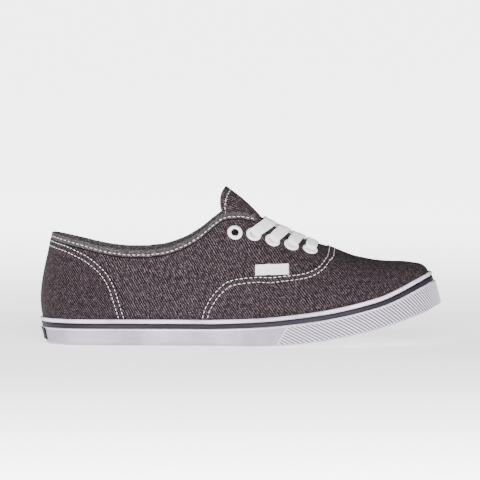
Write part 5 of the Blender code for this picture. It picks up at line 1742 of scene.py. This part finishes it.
def stitch_row(bm, places, normals, pitch, length, width, height):
    """Lays stitches along a line of places."""
    run = run_along(places)
    count = int(run[-1] / pitch)

    def read(values, at):
        return Vector([np.interp(at, run, values[:, axis]) for axis in range(3)])

    for k in range(count):
        middle = (k + 0.5) * run[-1] / count
        ahead = (read(places, middle + 0.0006) - read(places, middle - 0.0006)).normalized()
        normal = read(normals, middle)
        normal = (normal - ahead * normal.dot(ahead)).normalized()
        side = normal.cross(ahead)
        axes = Matrix((ahead * length / 2, side * width / 2, normal * height / 2)).transposed()
        matrix = Matrix.Translation(read(places, middle)) @ axes.to_4x4()
        bmesh.ops.create_uvsphere(bm, u_segments=8, v_segments=5, radius=1.0, matrix=matrix)
    return count


def seam_line(spots, lift):
    """Places and normals over a line of stations and climbs."""
    station, climb = np.asarray(spots).T
    return cloth_point(station, climb, lift), last_normal(station, climb)


def inset_line(edge, distance):
    """A line that keeps a distance inside a panel's edge."""
    d = np.gradient(edge, axis=0)
    s, c = inward(edge[:, 0], edge[:, 1], d[:, 0], d[:, 1], distance)
    return np.stack([s, np.clip(c, 0, 1)], -1)


STITCH = dict(length=0.0024, width=0.00045, height=0.00048)
COUNTER_STITCH = dict(length=0.0020, width=0.00046, height=0.00048)
TONGUE_STITCH = dict(length=0.0022, width=0.00055, height=0.0005)
LABEL_STITCH = dict(length=0.0009, width=0.00028, height=0.00025)
ON_PANEL = GAP * 0.4 + PANEL + 0.00005

# %% Panel rows
ROW_INSETS = (0.0012, 0.0046)


def panel_rows(name, edge, inwards, pitch, stitch):
    """Two rows inside a panel's edge, on both sides of the shoe."""
    bm = bmesh.new()
    total = 0
    for distance in ROW_INSETS:
        line = inset_line(smooth_line(edge, 400), inwards * distance)
        line = line[(line[:, 1] > band_climb(line[:, 0]) + 0.005) & (line[:, 1] < 0.995)]
        for side_line in (line, line * (-1, 1)):
            total += stitch_row(bm, *seam_line(side_line, ON_PANEL), pitch, **stitch)
    piece(name, bm, thread, "lace")
    print(name, "has", total, "stitches")


panel_rows("stitches_toe_piece", toe_edge, -1, 0.0033, STITCH)
panel_rows("stitches_counter", counter_edge, 1, 0.0027, COUNTER_STITCH)

# %% Collar, facing and label rows
bm = bmesh.new()
halves = np.linspace(-7.72, 7.72, 700)
inset = 0.0023 + 0.0011 * soft_step(1.2, 4.0, np.abs(halves))
line = np.stack([halves, climb_below_rim(halves, inset)], -1)
total = stitch_row(bm, *seam_line(line, TAPE + 0.0001), 0.0033, **STITCH)
piece("stitches_collar", bm, thread, "lace")
print("collar stitches:", total)

bm = bmesh.new()
long_way, short_way = np.linspace(0.02, 0.98, 60), np.linspace(0.12, 0.88, 60)
label_rows = [(long_way, np.full(60, v)) for v in (0.10, 0.90)]
label_rows += [(np.full(60, u), short_way) for u in (0.03, 0.97)]
for u, v in label_rows:
    spots = np.stack(label_spot(u, v), -1)
    stitch_row(bm, *seam_line(spots, LABEL + 0.00005), 0.0012, **LABEL_STITCH)
piece("stitches_label", bm, thread, "lace")

# %% Tongue row
bm = bmesh.new()
EDGE_INSET, ROW_FROM, ROW_TOP = 0.055, 0.89, 0.97
across = np.linspace(EDGE_INSET, 1 - EDGE_INSET, 100)
across = np.concatenate([np.full(100, across[0]), across, np.full(100, across[-1])])
climbing = np.linspace(ROW_FROM, ROW_TOP, 100)
share = np.concatenate([climbing, np.full(100, ROW_TOP), climbing[::-1]])
places, _ = tongue_surface(across, share, 0.0001)
lifted, _ = tongue_surface(across, share, 0.0011)
stitch_row(bm, places, (lifted - places) * 1000, 0.0030, **TONGUE_STITCH)
piece("stitches_tongue", bm, thread, "lace")
